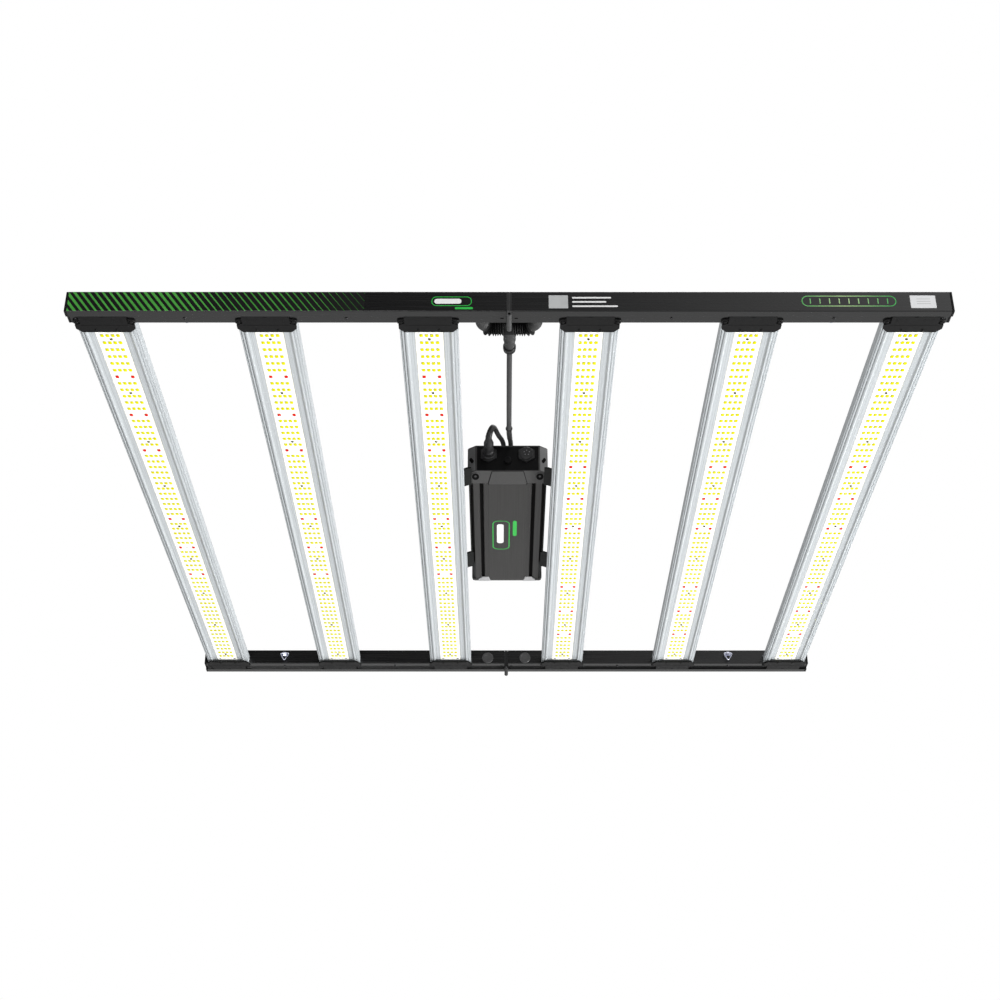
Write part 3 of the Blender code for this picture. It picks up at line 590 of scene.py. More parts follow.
def led(b, x, y, colour):
    """Square package with soft corners and a shallow lens, pointing down; its sides take a darker olive as painted
    shade.
    """
    rings = []
    for h, c, z in ((2.12, 0.6, 0.0), (2.12, 0.6, -0.42), (2.02, 0.75, -0.70), (1.5, 0.8, -0.86)):
        ring = []
        for sx, sy in ((1, 1), (-1, 1), (-1, -1), (1, -1)):
            l = h + 0.62
            q = [(sx * h, sy * (l - c)), (sx * (h - c), sy * l)]
            ring += q if sx * sy > 0 else q[::-1]
        rings.append([P(x + u, y + w, z) for u, w in ring])
    b.rings(rings[:2], 0, cap0=False, cap1=False)
    b.rings(rings[1:], colour, cap0=False)


def small_screw(b, x, y, z, r, m, m_recess_shade, down=True, drive="cross"):
    """Pan head with a cross or slot cut, facing down or up; the cut is a thin dark piece, painted shade of the recess.
    """
    s = -1 if down else 1
    prof = [(z, r), (z + s * 0.35 * r, r), (z + s * 0.62 * r, r * 0.82), (z + s * 0.72 * r, r * 0.5)]
    b.turned((x, y), "Z", prof, 14, m)
    t = z + s * 0.72 * r
    w, l = r * 0.14, r * 0.55
    for a, c in (((w, l), (l, w)) if drive == "cross" else ((w, l * 1.2),)):
        b.prism([(x - a, y - c), (x + a, y - c), (x + a, y + c), (x - a, y + c)], "Z",
                [(t - s * 0.05, 0), (t + s * 0.02, 0)], m_recess_shade)


for i, cx in enumerate(BAR_X):
    body = HALF_OF_BAR[i]
    b = Build()
    for n in range(ROWS):
        y = (n - 32) * ROW_PITCH
        red = n in RED_ROWS[body]
        for k, x in enumerate((-10.0, -3.33, 3.33, 10.0)):
            if red and k in (1, 2):
                continue
            led(b, cx + x, y, 2 if red else 1)
        if n in CHIP_ROWS[body]:
            b.prism([(cx - 0.9, y - 0.5), (cx + 0.9, y - 0.5), (cx + 0.9, y + 0.5), (cx - 0.9, y + 0.5)], "Z",
                    [(0.0, 0), (-0.5, 0)], 3)
    for y in (-476.0, -360.0, -240.0, -120.0, 0.0, 120.0, 240.0, 360.0, 476.0):
        row = round(y / ROW_PITCH - 0.5) + 0.5
        small_screw(b, cx, row * ROW_PITCH, 0.0, 1.85, 4, 5)
    for sy in (-1, 1):                                      # solder pads near both ends
        b.prism(rounded(cx - 14.5, cx - 11.0, *sorted((sy * 500.5, sy * 503.5)), 0.5, 2), "Z", [(0, 0), (-0.12, 0)], 6)
        b.prism(rounded(cx + 11.0, cx + 14.5, *sorted((sy * 500.5, sy * 503.5)), 0.5, 2), "Z", [(0, 0), (-0.12, 0)], 6)
    b.make(f"led_array_{i + 1}", [M_LED_SIDE_PAINTED_SHADE, M_PHOS, M_RED, M_CHIP, M_BSCREW, M_HOLE_PAINTED_SHADE, M_BRIGHT], body,
           angle=50)


# ---------------------------------------------------------------- end caps
for end, sy in (("front", -1), ("rear", 1)):
    for i, cx in enumerate(BAR_X):
        refine(f"end_cap_{end}_{i + 1}", M_CAP, 0.35, 2)
    for half, bars in (("left_half", BAR_X[:3]), ("right_half", BAR_X[3:])):
        # Dark pieces here are painted shade in slots, notches and screw recesses; the bosses take the lighter
        # painted-light grey.
        b = Build()
        for cx in bars:
            for sx in (-1, 1):
                x, y = cx + sx * 33.6, sy * 524.4
                b.turned((cx + sx * 33.3, y), "Z", [(-2.6, 4.9), (-3.9, 4.9), (-4.3, 4.5), (-4.4, 3.6), (-4.3, 3.2), (-4.0, 3.0)], 26, 3)
                small_screw(b, cx + sx * 33.3, y, -3.9, 2.3, 1, 2)
                for k in range(3):                            # moulded ribs, drawn as dark slots of painted shade
                    rx = cx + sx * (13.5 + 3.1 * k)
                    b.prism(rounded(*sorted((rx - 0.55, rx + 0.55)), *sorted((sy * 526.5, sy * 532.5)), 0.5, 2), "Z",
                            [(-5.7, 0), (-5.8, 0)], 2)
                for d in (-0.85, 0.85):
                    b.prism(rounded(*sorted((cx + sx * 16.6 + 6.4 * d - 0.25, cx + sx * 16.6 + 6.4 * d + 0.25)),
                                    *sorted((sy * 525.9, sy * 533.2)), 0.2, 2), "Z", [(-5.7, 0), (-6.0, 0)], 0)
                # dark notch of painted shade beside the ear
                b.prism([(cx + sx * 29.3, sy * 537.3), (cx + sx * 25.6, sy * 537.3), (cx + sx * 26.4, sy * 535.4),
                         (cx + sx * 29.3, sy * 535.4)], "Z", [(-5.65, 0), (-5.85, 0), (-5.95, 0.1)], 2)
                small_screw(b, cx + sx * 13.0, sy * 509.6, -5.7, 1.5, 1, 2)
            b.prism([(cx - 2.4, sy * 536.6), (cx + 2.4, sy * 536.6), (cx, sy * 533.4)], "Z", [(-5.7, 0), (-6.0, 0), (-6.1, 0.1)], 2)
            b.prism(rounded(cx - 27.5, cx + 27.5, *sorted((sy * 506.6, sy * 507.3)), 0.3, 2), "Z", [(-5.7, 0), (-5.95, 0)], 0)
            b.prism(rounded(cx - 29.0, cx + 29.0, *sorted((sy * 519.2, sy * 519.8)), 0.3, 2), "Z", [(-5.7, 0), (-5.9, 0)], 2)
        b.make(f"cap_details_{end}_{half}", [M_CAP, M_SCREW, M_HOLE_PAINTED_SHADE, M_BOSS_PAINTED_LIGHT], half)


# ---------------------------------------------------------------- cross beams and their prints
for end, sy in (("front", -1), ("rear", 1)):
    for half in ("left", "right"):
        refine(f"{end}_beam_{half}", M_BEAM, 0.35, 2)
        refine(f"beam_cap_{end}_{half}", M_CAP, 0.5, 3)
        # the rear leaves take the darker copy of the casting, painted shade
        refine(f"hinge_leaf_{end}_{half}", M_LEAF if end == "front" else M_LEAF_PAINTED_SHADE, 0.25, 2, angle=40)
        refine(f"hanger_bracket_{end}_{half}", M_ZINC, 0.2, 2, angle=40)
    assign(f"hinge_pin_{end}", M_STEEL)

FACE = -BEAM_OUT
b = Build()
b.prism(rounded(-536.6, -176, -5.0, 23.2, 0.6, 2), "Y", [(FACE + 0.05, 0), (FACE - 0.06, 0)], 0)
b.make("printed_strip_left", [M_HATCH], "left_half")


def outline_tube(b, pts, width, y0, y1, m):
    """A closed printed line of a given width along an outline, on the front face."""
    n = len(pts)
    cx, cz = sum(p[0] for p in pts) / n, sum(p[1] for p in pts) / n
    outer, inner = [], []
    for k in range(n):
        a, c = Vector(pts[k - 1]), Vector(pts[(k + 1) % n])
        t = (c - a).normalized()
        nrm = Vector((t.y, -t.x))
        if nrm.dot(Vector(pts[k]) - Vector((cx, cz))) < 0:
            nrm = -nrm
        outer.append(Vector(pts[k]) + nrm * width / 2)
        inner.append(Vector(pts[k]) - nrm * width / 2)
    rings = [[P(p.x, y0, p.y) for p in outer], [P(p.x, y1, p.y) for p in outer],
             [P(p.x, y1, p.y) for p in inner], [P(p.x, y0, p.y) for p in inner]]
    b.rings(rings, m, closed=True)


b = Build()                                                   # small generic mark on the left beam
Y0, Y1 = FACE + 0.05, FACE - 0.06
b.prism(rounded(-91, -58, 5.6, 13.0, 3.4, 5), "Y", [(Y0, 0), (Y1, 0)], 0)
outline_tube(b, rounded(-94, -46, 2.8, 15.8, 5.6, 6), 0.9, Y0, Y1, 1)
b.prism(rounded(-66, -44, -2.6, 0.6, 1.4, 4), "Y", [(Y0, 0), (Y1, 0)], 1)
b.make("front_mark_left", [M_WHITE_INK, M_GREEN_INK], "left_half")

b = Build()                                                   # blank grey square and three plain rules
b.prism(rounded(48, 71.5, -1.2, 18.2, 0.8, 3), "Y", [(Y0, 0), (Y1, 0)], 0)
for k, (x1, z) in enumerate(((124, 14.6), (118, 8.4), (132, 1.9))):
    b.prism(rounded(76.5, x1, z - 1.15, z + 1.15, 1.0, 3), "Y", [(Y0, 0), (Y1, 0)], 1)
b.make("front_mark_right", [M_GREY, M_WHITE_INK], "right_half")

b = Build()                                                   # plain outlined strip and the blank plate
outline_tube(b, rounded(356, 470, 2.2, 17.0, 7.2, 8), 1.1, Y0, Y1, 0)
for k in range(9):
    x = 366 + 11.75 * k
    b.prism(rounded(x - 0.6, x + 0.6, 5.6, 13.6, 0.5, 2), "Y", [(Y0, 0), (Y1, 0)], 0)
b.make("front_strip_right", [M_PALE], "right_half")
b = Build()
b.prism(rounded(487.5, 518.5, -0.9, 17.8, 0.7, 3), "Y", [(Y0, 0), (FACE - 0.25, 0), (FACE - 0.33, 0.12)], 0)
for z in (12.5, 9.0, 5.5):
    b.prism(rounded(495, 512, z - 0.35, z + 0.35, 0.3, 2), "Y", [(FACE - 0.3, 0), (FACE - 0.36, 0)], 1)
b.make("rating_plate", [M_PLATE, M_GREY], "right_half")

for end, sy in (("front", -1), ("rear", 1)):                    # thin foam seal between the beam halves
    b = Build()
    y0, y1 = sorted((sy * (BEAM_IN + 0.5), sy * (BEAM_OUT - 0.5)))
    b.prism(rounded(y0, y1, BEAM_LIP + 3.9, BEAM_TOP - 0.4, 1.0, 3), "X", [(-0.14, 0), (0.0, 0), (0.12, 0)], 0)
    b.make(f"fold_seal_{end}", [M_BELLOWS], "left_half")

M_SEAM = shader("seam_strip", (0.013, 0.013, 0.013), 0.45, 0.0, streak=(300, 300, 40), vary=0.15, grain=2600, bump=0.3)
b = Build()                                                   # dark discs of painted shade for the open bores at the ends of the hinge pins
for sy in (-1, 1):
    y = sy * 549.95
    b.turned((0.0, FOLD_Z), "Y", [(y + sy * 0.04, 2.0), (y, 2.75), (y - sy * 0.35, 2.75), (y - sy * 0.4, 1.9)], 26, 0)
b.make("hinge_pin_ends", [M_HOLE_PAINTED_SHADE], "left_half")

# underside screws of the beams, blanking plugs in the rear beam's cable holes
for half, sx in (("left", -1), ("right", 1)):
    b = Build()
    for sy in (-1, 1):
        for x in (530.0, 199.0, 397.0):
            small_screw(b, sx * x, sy * 529.5, BEAM_UNDER, 1.9, 0, 1, drive="slot")
        # dark slots of painted shade in the beam undersides
        b.prism(rounded(*sorted((sx * 6.5, sx * 10.9)), *sorted((sy * 528.6, sy * 530.6)), 0.9, 4), "Z",
                [(BEAM_UNDER + 0.1, 0), (BEAM_UNDER - 0.08, 0)], 1)
    b.prism(rounded(*sorted((sx * 0.5, sx * 3.0)), -4.9, 23.3, 0.3, 2), "Y", [(FACE + 0.05, 0), (FACE - 0.1, 0)], 2)
    b.make(f"beam_screws_{half}", [M_SCREW, M_HOLE_PAINTED_SHADE, M_SEAM], f"{half}_half")
    b = Build()
    y = BEAM_IN
    b.turned((sx * GLAND_X, GLAND_Z), "Y", [(y + 1.5, 7.4), (y - 0.05, 7.6), (y - 0.1, 10.0), (y - 0.9, 10.0), (y - 1.4, 9.5),
                                            (y - 1.45, 6.6), (y - 0.95, 6.2)], 36, 0)
    b.make(f"blanking_plug_{half}", [M_LEAF], f"{half}_half")

# ---------------------------------------------------------------- hanger rings
def ring_points(px, py):
    pts = []

    def arc(cx, cz, r, a0, a1, n):
        for k in range(n + 1):
            a = math.radians(a0 + (a1 - a0) * k / n)
            pts.append((cx + r * math.cos(a), cz + r * math.sin(a)))

    for x in (-3.4, -1.2, 1.2, 3.4):
        pts.append((x, 0.0))
    arc(5.1, -1.7, 1.7, 90, -24, 9)
    arc(0.0, -10.4, 2.1, -24, -156, 10)
    arc(-5.1, -1.7, 1.7, 204, 90, 9)
    return [P(px + x, py, HANG_Z + z) for x, z in pts]


for end, sy in (("front", -1), ("rear", 1)):
    for half, sx in (("left", -1), ("right", 1)):
        path = ring_points(sx * HANGER_X, sy * HANGER_Y)
        b = Build()
        b.swept(path, [WIRE_R * MM] * len(path), 16, closed=True, side=Vector((0, 1, 0)))
        ring = b.make(f"hanger_wire_{end}_{half}", [M_ZINC], f"ring_{end}_{half}", angle=60)
        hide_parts(f"hanger_ring_{end}_{half}")

# ---------------------------------------------------------------- splitter boot
def boot_path():
    """Centre line and radius from the left hole, round its elbow, across, and into the right hole."""
    r, face = 14.0, -BEAM_IN
    y0 = TEE_Y - r
    half = [(GLAND_X, face - 5, 7.5), (GLAND_X, face + 0.1, 7.5), (GLAND_X, face + 0.15, 9.2), (GLAND_X, face + 0.6, 9.9),
            (GLAND_X, face + 1.8, 10.0), (GLAND_X, face + 3.2, 9.5), (GLAND_X, face + 5.5, 8.7), (GLAND_X, y0, 8.4)]
    n = 18
    for k in range(1, n + 1):
        a = math.radians(90 * k / n)
        radius = 8.4 + 0.5 * math.sin(math.pi * min(1, k / 11))
        if k > 11:
            radius = (12.4, 10.4, 9.2)[k % 3]
        half.append((GLAND_X - r + r * math.cos(a), y0 + r * math.sin(a), radius))
    x, k = GLAND_X - r, 0
    while x > 7.4:
        x -= 0.72
        half.append((x, TEE_Y, (10.1, 9.2, 10.3 + 0.07 * x, 10.6 + 0.09 * x)[k % 4]))
        k += 1
    half.append((6.4, TEE_Y, 9.9))
    half.append((5.8, TEE_Y, 10.5))
    mid = [(4.0, TEE_Y, 10.6), (0.0, TEE_Y, 10.6), (-4.0, TEE_Y, 10.6)]
    return half + mid + [(-x, y, q) for x, y, q in reversed(half)]


def boot():
    pts = boot_path()
    path = [P(x, y, GLAND_Z) for x, y, _ in pts]
    b = Build()
    n, k = 28, len(path)
    rings, mats = [], []
    for q in range(k):
        a, c = path[max(0, q - 1)], path[min(k - 1, q + 1)]
        t = (c - a).normalized()
        u = Vector((0, 0, 1))
        w = t.cross(u).normalized()
        rad = pts[q][2]
        rings.append([path[q] + (u * math.cos(math.tau * i / n) + w * math.sin(math.tau * i / n)) * rad * MM
                      for i in range(n)])
        mats.append(1 if abs(pts[q][0]) < 27.4 and pts[q][1] > -501.0 else 0)
    o = len(b.v)
    for r in rings:
        b.v += [tuple(p) for p in r]
    for q in range(k - 1):
        for i in range(n):
            j = (i + 1) % n
            b.f.append([o + q * n + i, o + q * n + j, o + (q + 1) * n + j, o + (q + 1) * n + i])
            b.m.append(1 if mats[q] and mats[q + 1] else 0)
    b.f.append([o + i for i in range(n)][::-1])
    b.f.append([o + (k - 1) * n + i for i in range(n)])
    b.m += [0, 0]
    ob = b.make("splitter_boot", [M_RUBBER, M_BELLOWS], None, angle=60)
    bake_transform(ob)
    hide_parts("cable_splitter", "splitter_right_arm")
    return ob


boot()
b = Build()
b.turned((0.8, GLAND_Z), "Y", [(-497, 9.6), (-488, 9.4), (-484.5, 9.0), (-481.5, 8.9), (-480, 8.3), (-477, 7.6), (-472.5, 7.5),
                               (-471.8, 7.9), (-469.8, 7.9), (-469, 7.2), (-458, 6.8), (-455.6, 6.7)], 36, 0)
b.make("splitter_neck", [M_RUBBER], "left_half", angle=50)
b = Build()
profile = [(-455.4, 7.2), (-455.3, 7.9), (-454.6, 8.2), (-450.4, 8.2), (-449.8, 7.7)]
b.turned((0.8, GLAND_Z), "Y", profile + [(-449.6, 7.0)], 36, 0)
for k in range(18):                                            # toothed grip of the nut
    a0, a1 = math.tau * (k + 0.18) / 18, math.tau * (k + 0.82) / 18
    ring = []
    for y, r in ((-449.9, 7.9), (-446.9, 7.75), (-444.8, 6.5), (-443.5, 5.0)):
        ring.append([P(0.8 + q * math.cos(a), y, GLAND_Z + q * math.sin(a))
                     for q, a in ((r - 1.6, a0), (r, a0 + 0.03), (r, a1 - 0.03), (r - 1.6, a1))])
    b.rings(ring, 0)
# painted shade inside the mouth of the nut
b.turned((0.8, GLAND_Z), "Y", [(-450, 7.0), (-447.0, 6.9), (-445.0, 5.7), (-443.4, 4.3)], 36, 1)
nut = b.make("splitter_nut_toothed", [M_NUT, M_HOLE_PAINTED_SHADE], "left_half", angle=40)
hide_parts("splitter_nut")

# ---------------------------------------------------------------- driver
refine("driver_housing", M_CASE, 0.3, 2)
refine("driver_front_cap", M_CASE_CAST, 0.3, 2, angle=30)
refine("driver_rear_cap", M_CASE_CAST, 0.5, 3)
assign("driver_circuit_board", M_PCB)
refine("driver_bracket_left", M_BRACKET, 0.35, 2, angle=30)
refine("driver_bracket_right", M_BRACKET, 0.35, 2, angle=30)
assign("driver_output_socket", M_SOCKET)
assign("mains_inlet", M_SOCKET)
assign("dimmer_knob", M_PANEL)

b = Build()                                                     # black film in the front recess, with dial marks
Y = DRV_FRONT + 1.5
film = rounded(-44.6, 44.6, DRV_LOW + 1.6, DRV_TOP - 1.4, 1.2, 3)
b.prism(film, "Y", [(Y + 0.02, 0), (Y - 0.08, 0)], 0)
for k in range(11):
    a = math.radians(225 - 27 * k)
    c, s = math.cos(a), math.sin(a)
    b.prism([(7.2 * c - 0.22 * s, KNOB_Z + 7.2 * s + 0.22 * c), (8.6 * c - 0.22 * s, KNOB_Z + 8.6 * s + 0.22 * c),
             (8.6 * c + 0.22 * s, KNOB_Z + 8.6 * s - 0.22 * c), (7.2 * c + 0.22 * s, KNOB_Z + 7.2 * s - 0.22 * c)], "Y",
            [(Y - 0.06, 0), (Y - 0.14, 0)], 1)
b.make("front_panel_film", [M_PANEL, M_CAP], "left_half")

b = Build()                                                     # inlet: insulator, pins and a key
b.turned((SOCKET_X, SOCKET_Z), "Y", [(-122.45, 7.2), (-129.6, 7.2), (-130.1, 7.0), (-130.1, 6.2), (-129.7, 6.0)], 32, 0)
for k in range(5):
    a = math.radians(90 + 72 * k)
    c, d = SOCKET_X + 3.9 * math.cos(a), SOCKET_Z + 3.9 * math.sin(a)
    # dark rings of painted shade round each pin
    b.turned((c, d), "Y", [(-129.5, 1.55), (-130.0, 1.55), (-130.1, 1.35)], 16, 2)
    b.turned((c, d), "Y", [(-129.9, 0.85), (-131.3, 0.85), (-131.6, 0.65), (-131.7, 0.3)], 12, 1)
b.turned((SOCKET_X, SOCKET_Z), "Y", [(-129.5, 1.2), (-130.6, 1.2), (-130.8, 1.0)], 14, 0)
for x in (SOCKET_X, -SOCKET_X):                                 # thread rings on the collars
    for y in (-129.4, -130.4, -131.3):
        b.turned((x, SOCKET_Z), "Y", [(y + 0.3, 9.25), (y, 9.55), (y - 0.3, 9.25)], 32, 0)
b.make("inlet_pins", [M_SOCKET, M_STEEL, M_HOLE_PAINTED_SHADE], "left_half")

b = Build()                                                     # mouldings and screws on the front cap
for sx in (-1, 1):
    def oval(rx, ry, n=34):                                     # a round bore cut at a slant
        return [(sx * 46.8 + rx * math.cos(2 * math.pi * k / n), -111.4 + ry * math.sin(2 * math.pi * k / n)) for k in range(n)]
    b.prism(oval(6.3, 10.6), "Z", [(DRV_LOW + 0.4, 0), (DRV_LOW - 0.5, 0), (DRV_LOW - 0.8, 0.4)], 0)
    # the floor of the bore is painted shade
    b.prism(oval(5.2, 9.2), "Z", [(DRV_LOW - 0.6, 0), (DRV_LOW - 0.88, 0)], 2)
    hexa = [(sx * 46.8 + 2.0 * math.cos(math.pi * k / 3), -112.4 + 3.3 * math.sin(math.pi * k / 3)) for k in range(6)]
    b.prism(hexa, "Z", [(DRV_LOW - 0.8, 0), (DRV_LOW - 0.95, 0), (DRV_LOW - 1.0, 0.4)], 4)
    # painted light: a lighter skin laid on the chamfer beside the panel, with a slanted recess in it
    u = Vector((sx * 11.8, 9.0, 0)).normalized()
    nrm = Vector((sx * 9.0, -11.8, 0)).normalized()
    mid = Vector((sx * 52.4, -122.0, 38.0))
    tilt = math.radians(-33 * sx)
    rings = []
    for h, inset in ((-0.05, 0.0), (0.08, 0.0), (0.14, 0.3)):
        ring = []
        for p, q in rounded(-6.6 + inset, 6.6 - inset, -18.6 + inset, 21.4 - inset, 1.2, 3):
            w3 = mid + u * (p * sx) + nrm * h + Vector((0, 0, q))
            ring.append(P(w3.x, w3.y, w3.z))
        rings.append(ring)
    b.rings(rings, 3)
    # the recess: a rim in the lighter painted-light grey, and a dark slot of painted shade
    for lo, hi, grow, m in ((0.05, 0.30, 0.8, 3), (0.15, 0.38, 0.0, 2)):
        rings = []
        for h, inset in ((lo, 0.0), (hi, 0.0), (hi + 0.06, 0.3)):
            ring = []
            for p, q in rounded(-2.5 - grow + inset, 2.5 + grow - inset, -5.4 - grow + inset, 5.4 + grow - inset,
                                2.4 + grow - inset, 5):
                p, q = p * math.cos(tilt) - q * math.sin(tilt), p * math.sin(tilt) + q * math.cos(tilt)
                w3 = mid + u * (p * sx) + nrm * h + Vector((0, 0, q))
                ring.append(P(w3.x, w3.y, w3.z))
            rings.append(ring)
        b.rings(rings, m)
trap = fillet([(-22.4, -126.0), (22.4, -126.0), (28.0, -92.0), (27.0, -88.0), (-27.0, -88.0), (-28.0, -92.0)], 1.0, 3)
groove = [(x * 1.032, -107.0 + (y + 107.0) * 1.032) for x, y in trap]
# a dark line of painted shade in the groove round the panel
b.prism(groove, "Z", [(DRV_LOW + 0.3, 0), (DRV_LOW - 0.12, 0)], 2)
b.prism(trap, "Z", [(DRV_LOW + 0.4, 0), (DRV_LOW - 0.45, 0), (DRV_LOW - 0.8, 0.45)], 0)
b.make("front_cap_details", [M_CASE_CAST, M_SCREW, M_HOLE_PAINTED_SHADE, M_CHAMFER_PAINTED_LIGHT, M_SOCKET], "left_half")

b = Build()                                                     # painted shade: dark strips on the floors of the long grooves
for sx in (-1, 1):
    b.prism([(sx * 36.9, 20.95), (sx * 40.3, 20.95), (sx * 40.9, 19.7), (sx * 36.3, 19.7), (sx * 36.5, 20.2), (sx * 40.7, 20.2)][:4],
            "Y", [(DRV_SEAM + 0.5, 0), (DRV_REAR - 6.6, 0)], 0)
b.make("housing_groove_painted_shade", [M_HOLE_PAINTED_SHADE], "left_half")

b = Build()                                                     # raised centre strip under the housing, bright corners
b.prism(rounded(-28.3, 28.3, -87.2, 221.3, 0.6, 2), "Z", [(DRV_LOW + 0.3, 0), (DRV_LOW - 0.1, 0), (DRV_LOW - 0.42, 0.45)], 0)
for sx in (-1, 1):
    for x0, x1 in ((31.2, 31.9), (34.2, 34.7)):
        b.prism(rounded(*sorted((sx * x0, sx * x1)), -89.5, 221.3, 0.2, 2), "Z", [(DRV_LOW + 0.2, 0), (DRV_LOW - 0.22, 0)], 0)
b.make("housing_strip", [M_CASE], "left_half")
b = Build()
for sx in (-1, 1):
    pts = fillet([(sx * 26.2, 227.9), (sx * 45.5, 227.9), (sx * 46.5, 222.5), (sx * 39.5, 213.5), (sx * 29.5, 213.5)], 0.8, 3)
    b.prism(pts, "Z", [(DRV_LOW + 0.6, 0), (DRV_LOW - 0.3, 0), (DRV_LOW - 1.0, 1.0)], 0)
b.make("rear_cap_bright_corners", [M_BRIGHT], "left_half")

b = Build()                                                     # plain label under the driver, read from the side
Z0, Z1 = DRV_LOW - 0.40, DRV_LOW - 0.50
b.prism(rounded(-16.0, -5.5, 34.0, 96.0, 4.8, 6), "Z", [(Z0, 0), (Z1, 0)], 0)


def flat_line(b, pts, width, m):
    n = len(pts)
    c = Vector((sum(p[0] for p in pts) / n, sum(p[1] for p in pts) / n))
    outer, inner = [], []
    for k in range(n):
        t = (Vector(pts[(k + 1) % n]) - Vector(pts[k - 1])).normalized()
        nrm = Vector((t.y, -t.x))
        if nrm.dot(Vector(pts[k]) - c) < 0:
            nrm = -nrm
        outer.append(Vector(pts[k]) + nrm * width / 2)
        inner.append(Vector(pts[k]) - nrm * width / 2)
    b.rings([[P(p.x, p.y, Z0) for p in outer], [P(p.x, p.y, Z1) for p in outer],
             [P(p.x, p.y, Z1) for p in inner], [P(p.x, p.y, Z0) for p in inner]], m, closed=True)


flat_line(b, rounded(-22.0, 3.0, 24.0, 116.0, 9.0, 7), 1.4, 1)
b.prism(rounded(8.5, 14.5, 24.0, 72.0, 2.8, 5), "Z", [(Z0, 0), (Z1, 0)], 1)
b.make("driver_mark", [M_WHITE_INK, M_GREEN_INK], "left_half")

# ---------------------------------------------------------------- plug and cable
TAIL_R, TAIL_TURN = 9.0, 158
tail_side = Vector((math.sin(math.radians(22)), 0, math.cos(math.radians(22))))


def tail_points(n, r0=4.6, r1=3.9):
    pts, rad = [], []
    for k in range(n + 1):
        a = math.radians(TAIL_TURN * k / n)
        pts.append(P(-SOCKET_X, -171, SOCKET_Z) + tail_side * (TAIL_R * MM * (1 - math.cos(a)))
                   + Vector((0, -1, 0)) * (TAIL_R * MM * math.sin(a)))
        rad.append((r0 + (r1 - r0) * k / n) * MM)
    return pts, rad


coarse = [P(-SOCKET_X, -166, SOCKET_Z)] + tail_points(10)[0]
tail_dir = (coarse[-1] - coarse[-2]).normalized()
CABLE_START = P(0.8, TEE_NUT + 0.3, GLAND_Z)
CABLE_END = coarse[-1] + tail_dir * (0.7 * MM)


def cable_route():
    rest = DRV_TOP + CABLE_R + 0.4
    pts = [CABLE_START, P(0.8, -436, GLAND_Z - 0.1), P(0.8, -424, GLAND_Z - 0.7), P(0.8, -398, 7.2), P(0.9, -360, 6.9),
           P(1.0, -315, 10.2), P(1.2, -270, 18.5), P(1.4, -228, 30.0), P(1.8, -192, 43.2), P(2.4, -164, 54.8),
           P(3.1, -144, 62.2), P(4.2, -127, rest + 0.9), P(4.9, -114, rest + 0.2), P(6.0, -104, rest), P(12.5, -88, rest), P(22.5, -74, rest)]
    for a in (-22, 4, 30, 58, 90, 122, 150, 176, 202):
        pts.append(P(33 * math.cos(math.radians(a)), -48 + 33 * math.sin(math.radians(a)), rest))
    pts += [P(-22.0, -74, rest), P(-12.5, -88, rest), P(-7.0, -104, rest), P(-6.0, -120, rest), P(-8.4, -136, rest - 0.5),
            P(-13.5, -152, rest - 2.0)]
    pts += [CABLE_END + tail_dir * (9 * MM), CABLE_END]
    return pts


route, route_length = smooth_spline(cable_route(), 3.0 * MM)


def tube(path, radius, n, radii=None):
    """Round tube with a frame carried along the path, so that it never twists."""
    rings, u = [], None
    for q, p in enumerate(path):
        t = (path[min(q + 1, len(path) - 1)] - path[max(q - 1, 0)]).normalized()
        if u is None:
            u = t.orthogonal().normalized()
        u = (u - t * u.dot(t)).normalized()
        w = t.cross(u)
        r = radii[q] if radii else radius
        rings.append([p + (u * math.cos(math.tau * i / n) + w * math.sin(math.tau * i / n)) * r for i in range(n)])
    return rings


b = Build()
b.rings(tube(route, CABLE_R * MM, 18))
cable = b.make("cable_jacket", [M_CABLE], "left_half", angle=60)
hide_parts("driver_cable")


def along(y_from, y_to):
    """The stretch of the route between two Y positions on its way to the driver."""
    return [p for p in route[: len(route) // 2] if y_from * MM <= p.y <= y_to * MM and p.z < P(0, 0, DRV_TOP + 6).z]


b = Build()                                                     # sleeve of the lower stretch, and its collar
stretch = along(-216, -140)
b.rings(tube(stretch, 3.85 * MM, 18, [3.62 * MM] + [3.85 * MM] * (len(stretch) - 2) + [3.62 * MM]), 0)
ring = along(-221.5, -212.5)
b.rings(tube(ring, 0, 20, [4.0 * MM] + [4.9 * MM] * (len(ring) - 2) + [4.0 * MM]), 1)
collar = b.make("cable_sleeve", [M_CABLE, M_NUT], "left_half", angle=60)

b = Build()                                                     # angled plug
b.turned((-SOCKET_X, SOCKET_Z), "Y", [(-125.0, 6.4), (-126.0, 6.8), (-132.1, 6.8), (-132.3, 7.5), (-132.8, 7.7), (-139.4, 7.7),
                                      (-140.2, 7.3), (-141.0, 6.9), (-141.8, 7.15), (-157.4, 7.15), (-158.6, 6.9), (-162, 6.0),
                                      (-167, 4.95), (-171, 4.6)], 32, 0)
for k in range(16):                                             # grip ribs of the coupling ring
    a = math.tau * k / 16
    c, s = math.cos(a), math.sin(a)
    ring = []
    for y, r in ((-133.2, 7.5), (-133.6, 7.95), (-138.6, 7.95), (-139.2, 7.5)):
        ring.append([P(-SOCKET_X + (r - 0.5) * c - 0.5 * s, y, SOCKET_Z + (r - 0.5) * s + 0.5 * c),
                     P(-SOCKET_X + r * c - 0.35 * s, y, SOCKET_Z + r * s + 0.35 * c),
                     P(-SOCKET_X + r * c + 0.35 * s, y, SOCKET_Z + r * s - 0.35 * c),
                     P(-SOCKET_X + (r - 0.5) * c + 0.5 * s, y, SOCKET_Z + (r - 0.5) * s - 0.5 * c)])
    b.rings(ring, 0)
tp, tr = tail_points(33)
tr = [r + (0.22 * MM if k % 3 == 1 and 2 < k < 30 else 0) for k, r in enumerate(tr)]
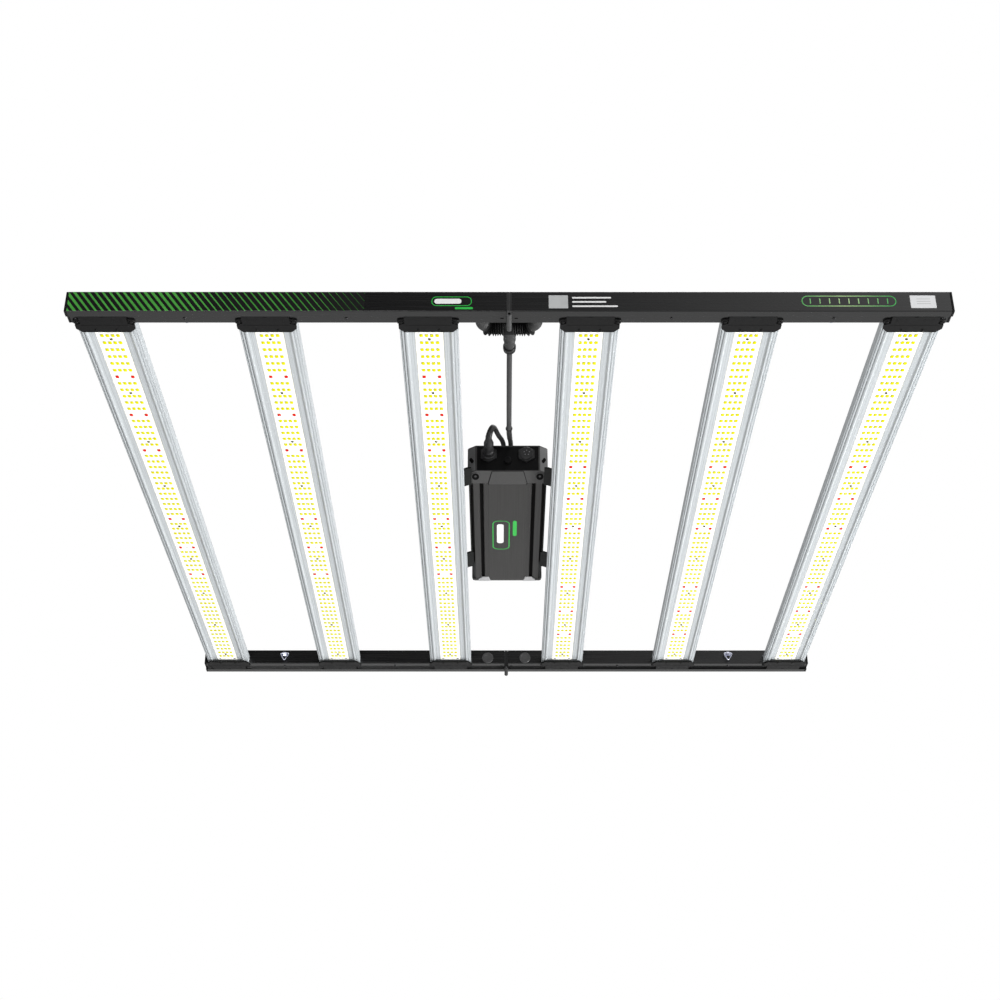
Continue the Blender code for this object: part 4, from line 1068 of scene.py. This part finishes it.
b.rings(tube([P(-SOCKET_X, -166, SOCKET_Z)] + tp, 0, 20, [4.6 * MM] + tr), 0)
plug = b.make("angled_plug", [M_PLUG], "left_half", angle=50)
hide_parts("cable_plug")

# ---------------------------------------------------------------- stage and light
b = Build()
S = 90000.0
b.put([(-S * MM, -S * MM, -3.2), (S * MM, -S * MM, -3.2), (S * MM, S * MM, -3.2), (-S * MM, S * MM, -3.2)], [[0, 1, 2, 3]])
M_FLOOR = shader("studio_floor", (0.52, 0.52, 0.52), 0.8, 0.0, streak=(2, 2, 2), vary=0.01, grain=60, bump=0.02,
                 glow=(1, 1, 1), glow_strength=0.25)
q = Nodes(M_FLOOR)                                              # painted light: the floor's glow grows towards the back and fades far to the left, as on a product table
q.link(q.math("MULTIPLY", q.span(q.axis("Y"), 0.8, 4.0, 0.15, 0.46), q.span(q.axis("X"), -3.4, -1.7, 0.25, 1.0)), M_FLOOR.node_tree.nodes["Principled BSDF"].inputs["Emission Strength"])
floor = b.make("floor", [M_FLOOR])


def area(name, at, to, size, watts, colour=(1, 1, 1)):
    l = bpy.data.lights.new(name, "AREA")
    l.shape, l.size, l.energy, l.color = "DISK", size, watts, colour
    o = bpy.data.objects.new(name, l)
    o.location = at
    o.rotation_euler = (Vector(to) - Vector(at)).to_track_quat("-Z", "Y").to_euler()
    bpy.context.scene.collection.objects.link(o)
    return o


area("key", (4.6, 0.5, -2.9), (0, 0, 0), 1.6, 450)
area("front", (-1.0, -3.3, -1.55), (0, -0.3, 0), 1.6, 62)
area("top", (0.9, 1.2, 3.2), (0, 0, 0), 2.6, 70)

# A soft surround: dark above and in front on the left, light to the right, even behind and below.
world = bpy.data.worlds.new("studio")
bpy.context.scene.world = world
world.use_nodes = True
w = Nodes(world)
bg = world.node_tree.nodes["Background"]
sep = w.new("ShaderNodeSeparateXYZ")
w.link(w.new("ShaderNodeTexCoord").outputs["Generated"], sep.inputs[0])
dx, dy, dz = sep.outputs["X"], sep.outputs["Y"], sep.outputs["Z"]
ahead = w.span(dy, -0.35, 0.15, 1, 0)
above = w.math("MULTIPLY", w.span(dz, 0.02, 0.22, 0, 1), w.span(dz, 0.72, 0.95, 1, 0))
gloom = w.math("MULTIPLY", w.math("MULTIPLY", ahead, above), w.span(dx, -0.02, 0.26, 1.0, 0.15))
even = w.span(dx, -0.9, 0.9, 0.28, 0.56)
light = w.math("MULTIPLY", even, w.math("SUBTRACT", 1.0, w.math("MULTIPLY", gloom, 0.95)))
light = w.math("ADD", light, w.math("MULTIPLY", w.math("MULTIPLY", ahead, above), w.span(dx, 0.02, 0.28, 0, 1.05)))
pick = w.new("ShaderNodeMix")
pick.data_type = "FLOAT"
w.link(w.new("ShaderNodeLightPath").outputs["Is Camera Ray"], pick.inputs[0])
w.link(light, pick.inputs[2])
pick.inputs[3].default_value = 1.0
bg.inputs["Color"].default_value = (1, 1, 1, 1)
w.link(pick.outputs[0], bg.inputs["Strength"])

bpy.context.scene.view_settings.view_transform = "Standard"
bpy.context.scene.view_settings.look = "None"
bpy.context.scene.view_settings.exposure = 0.0
bpy.context.scene.view_settings.gamma = 1.0
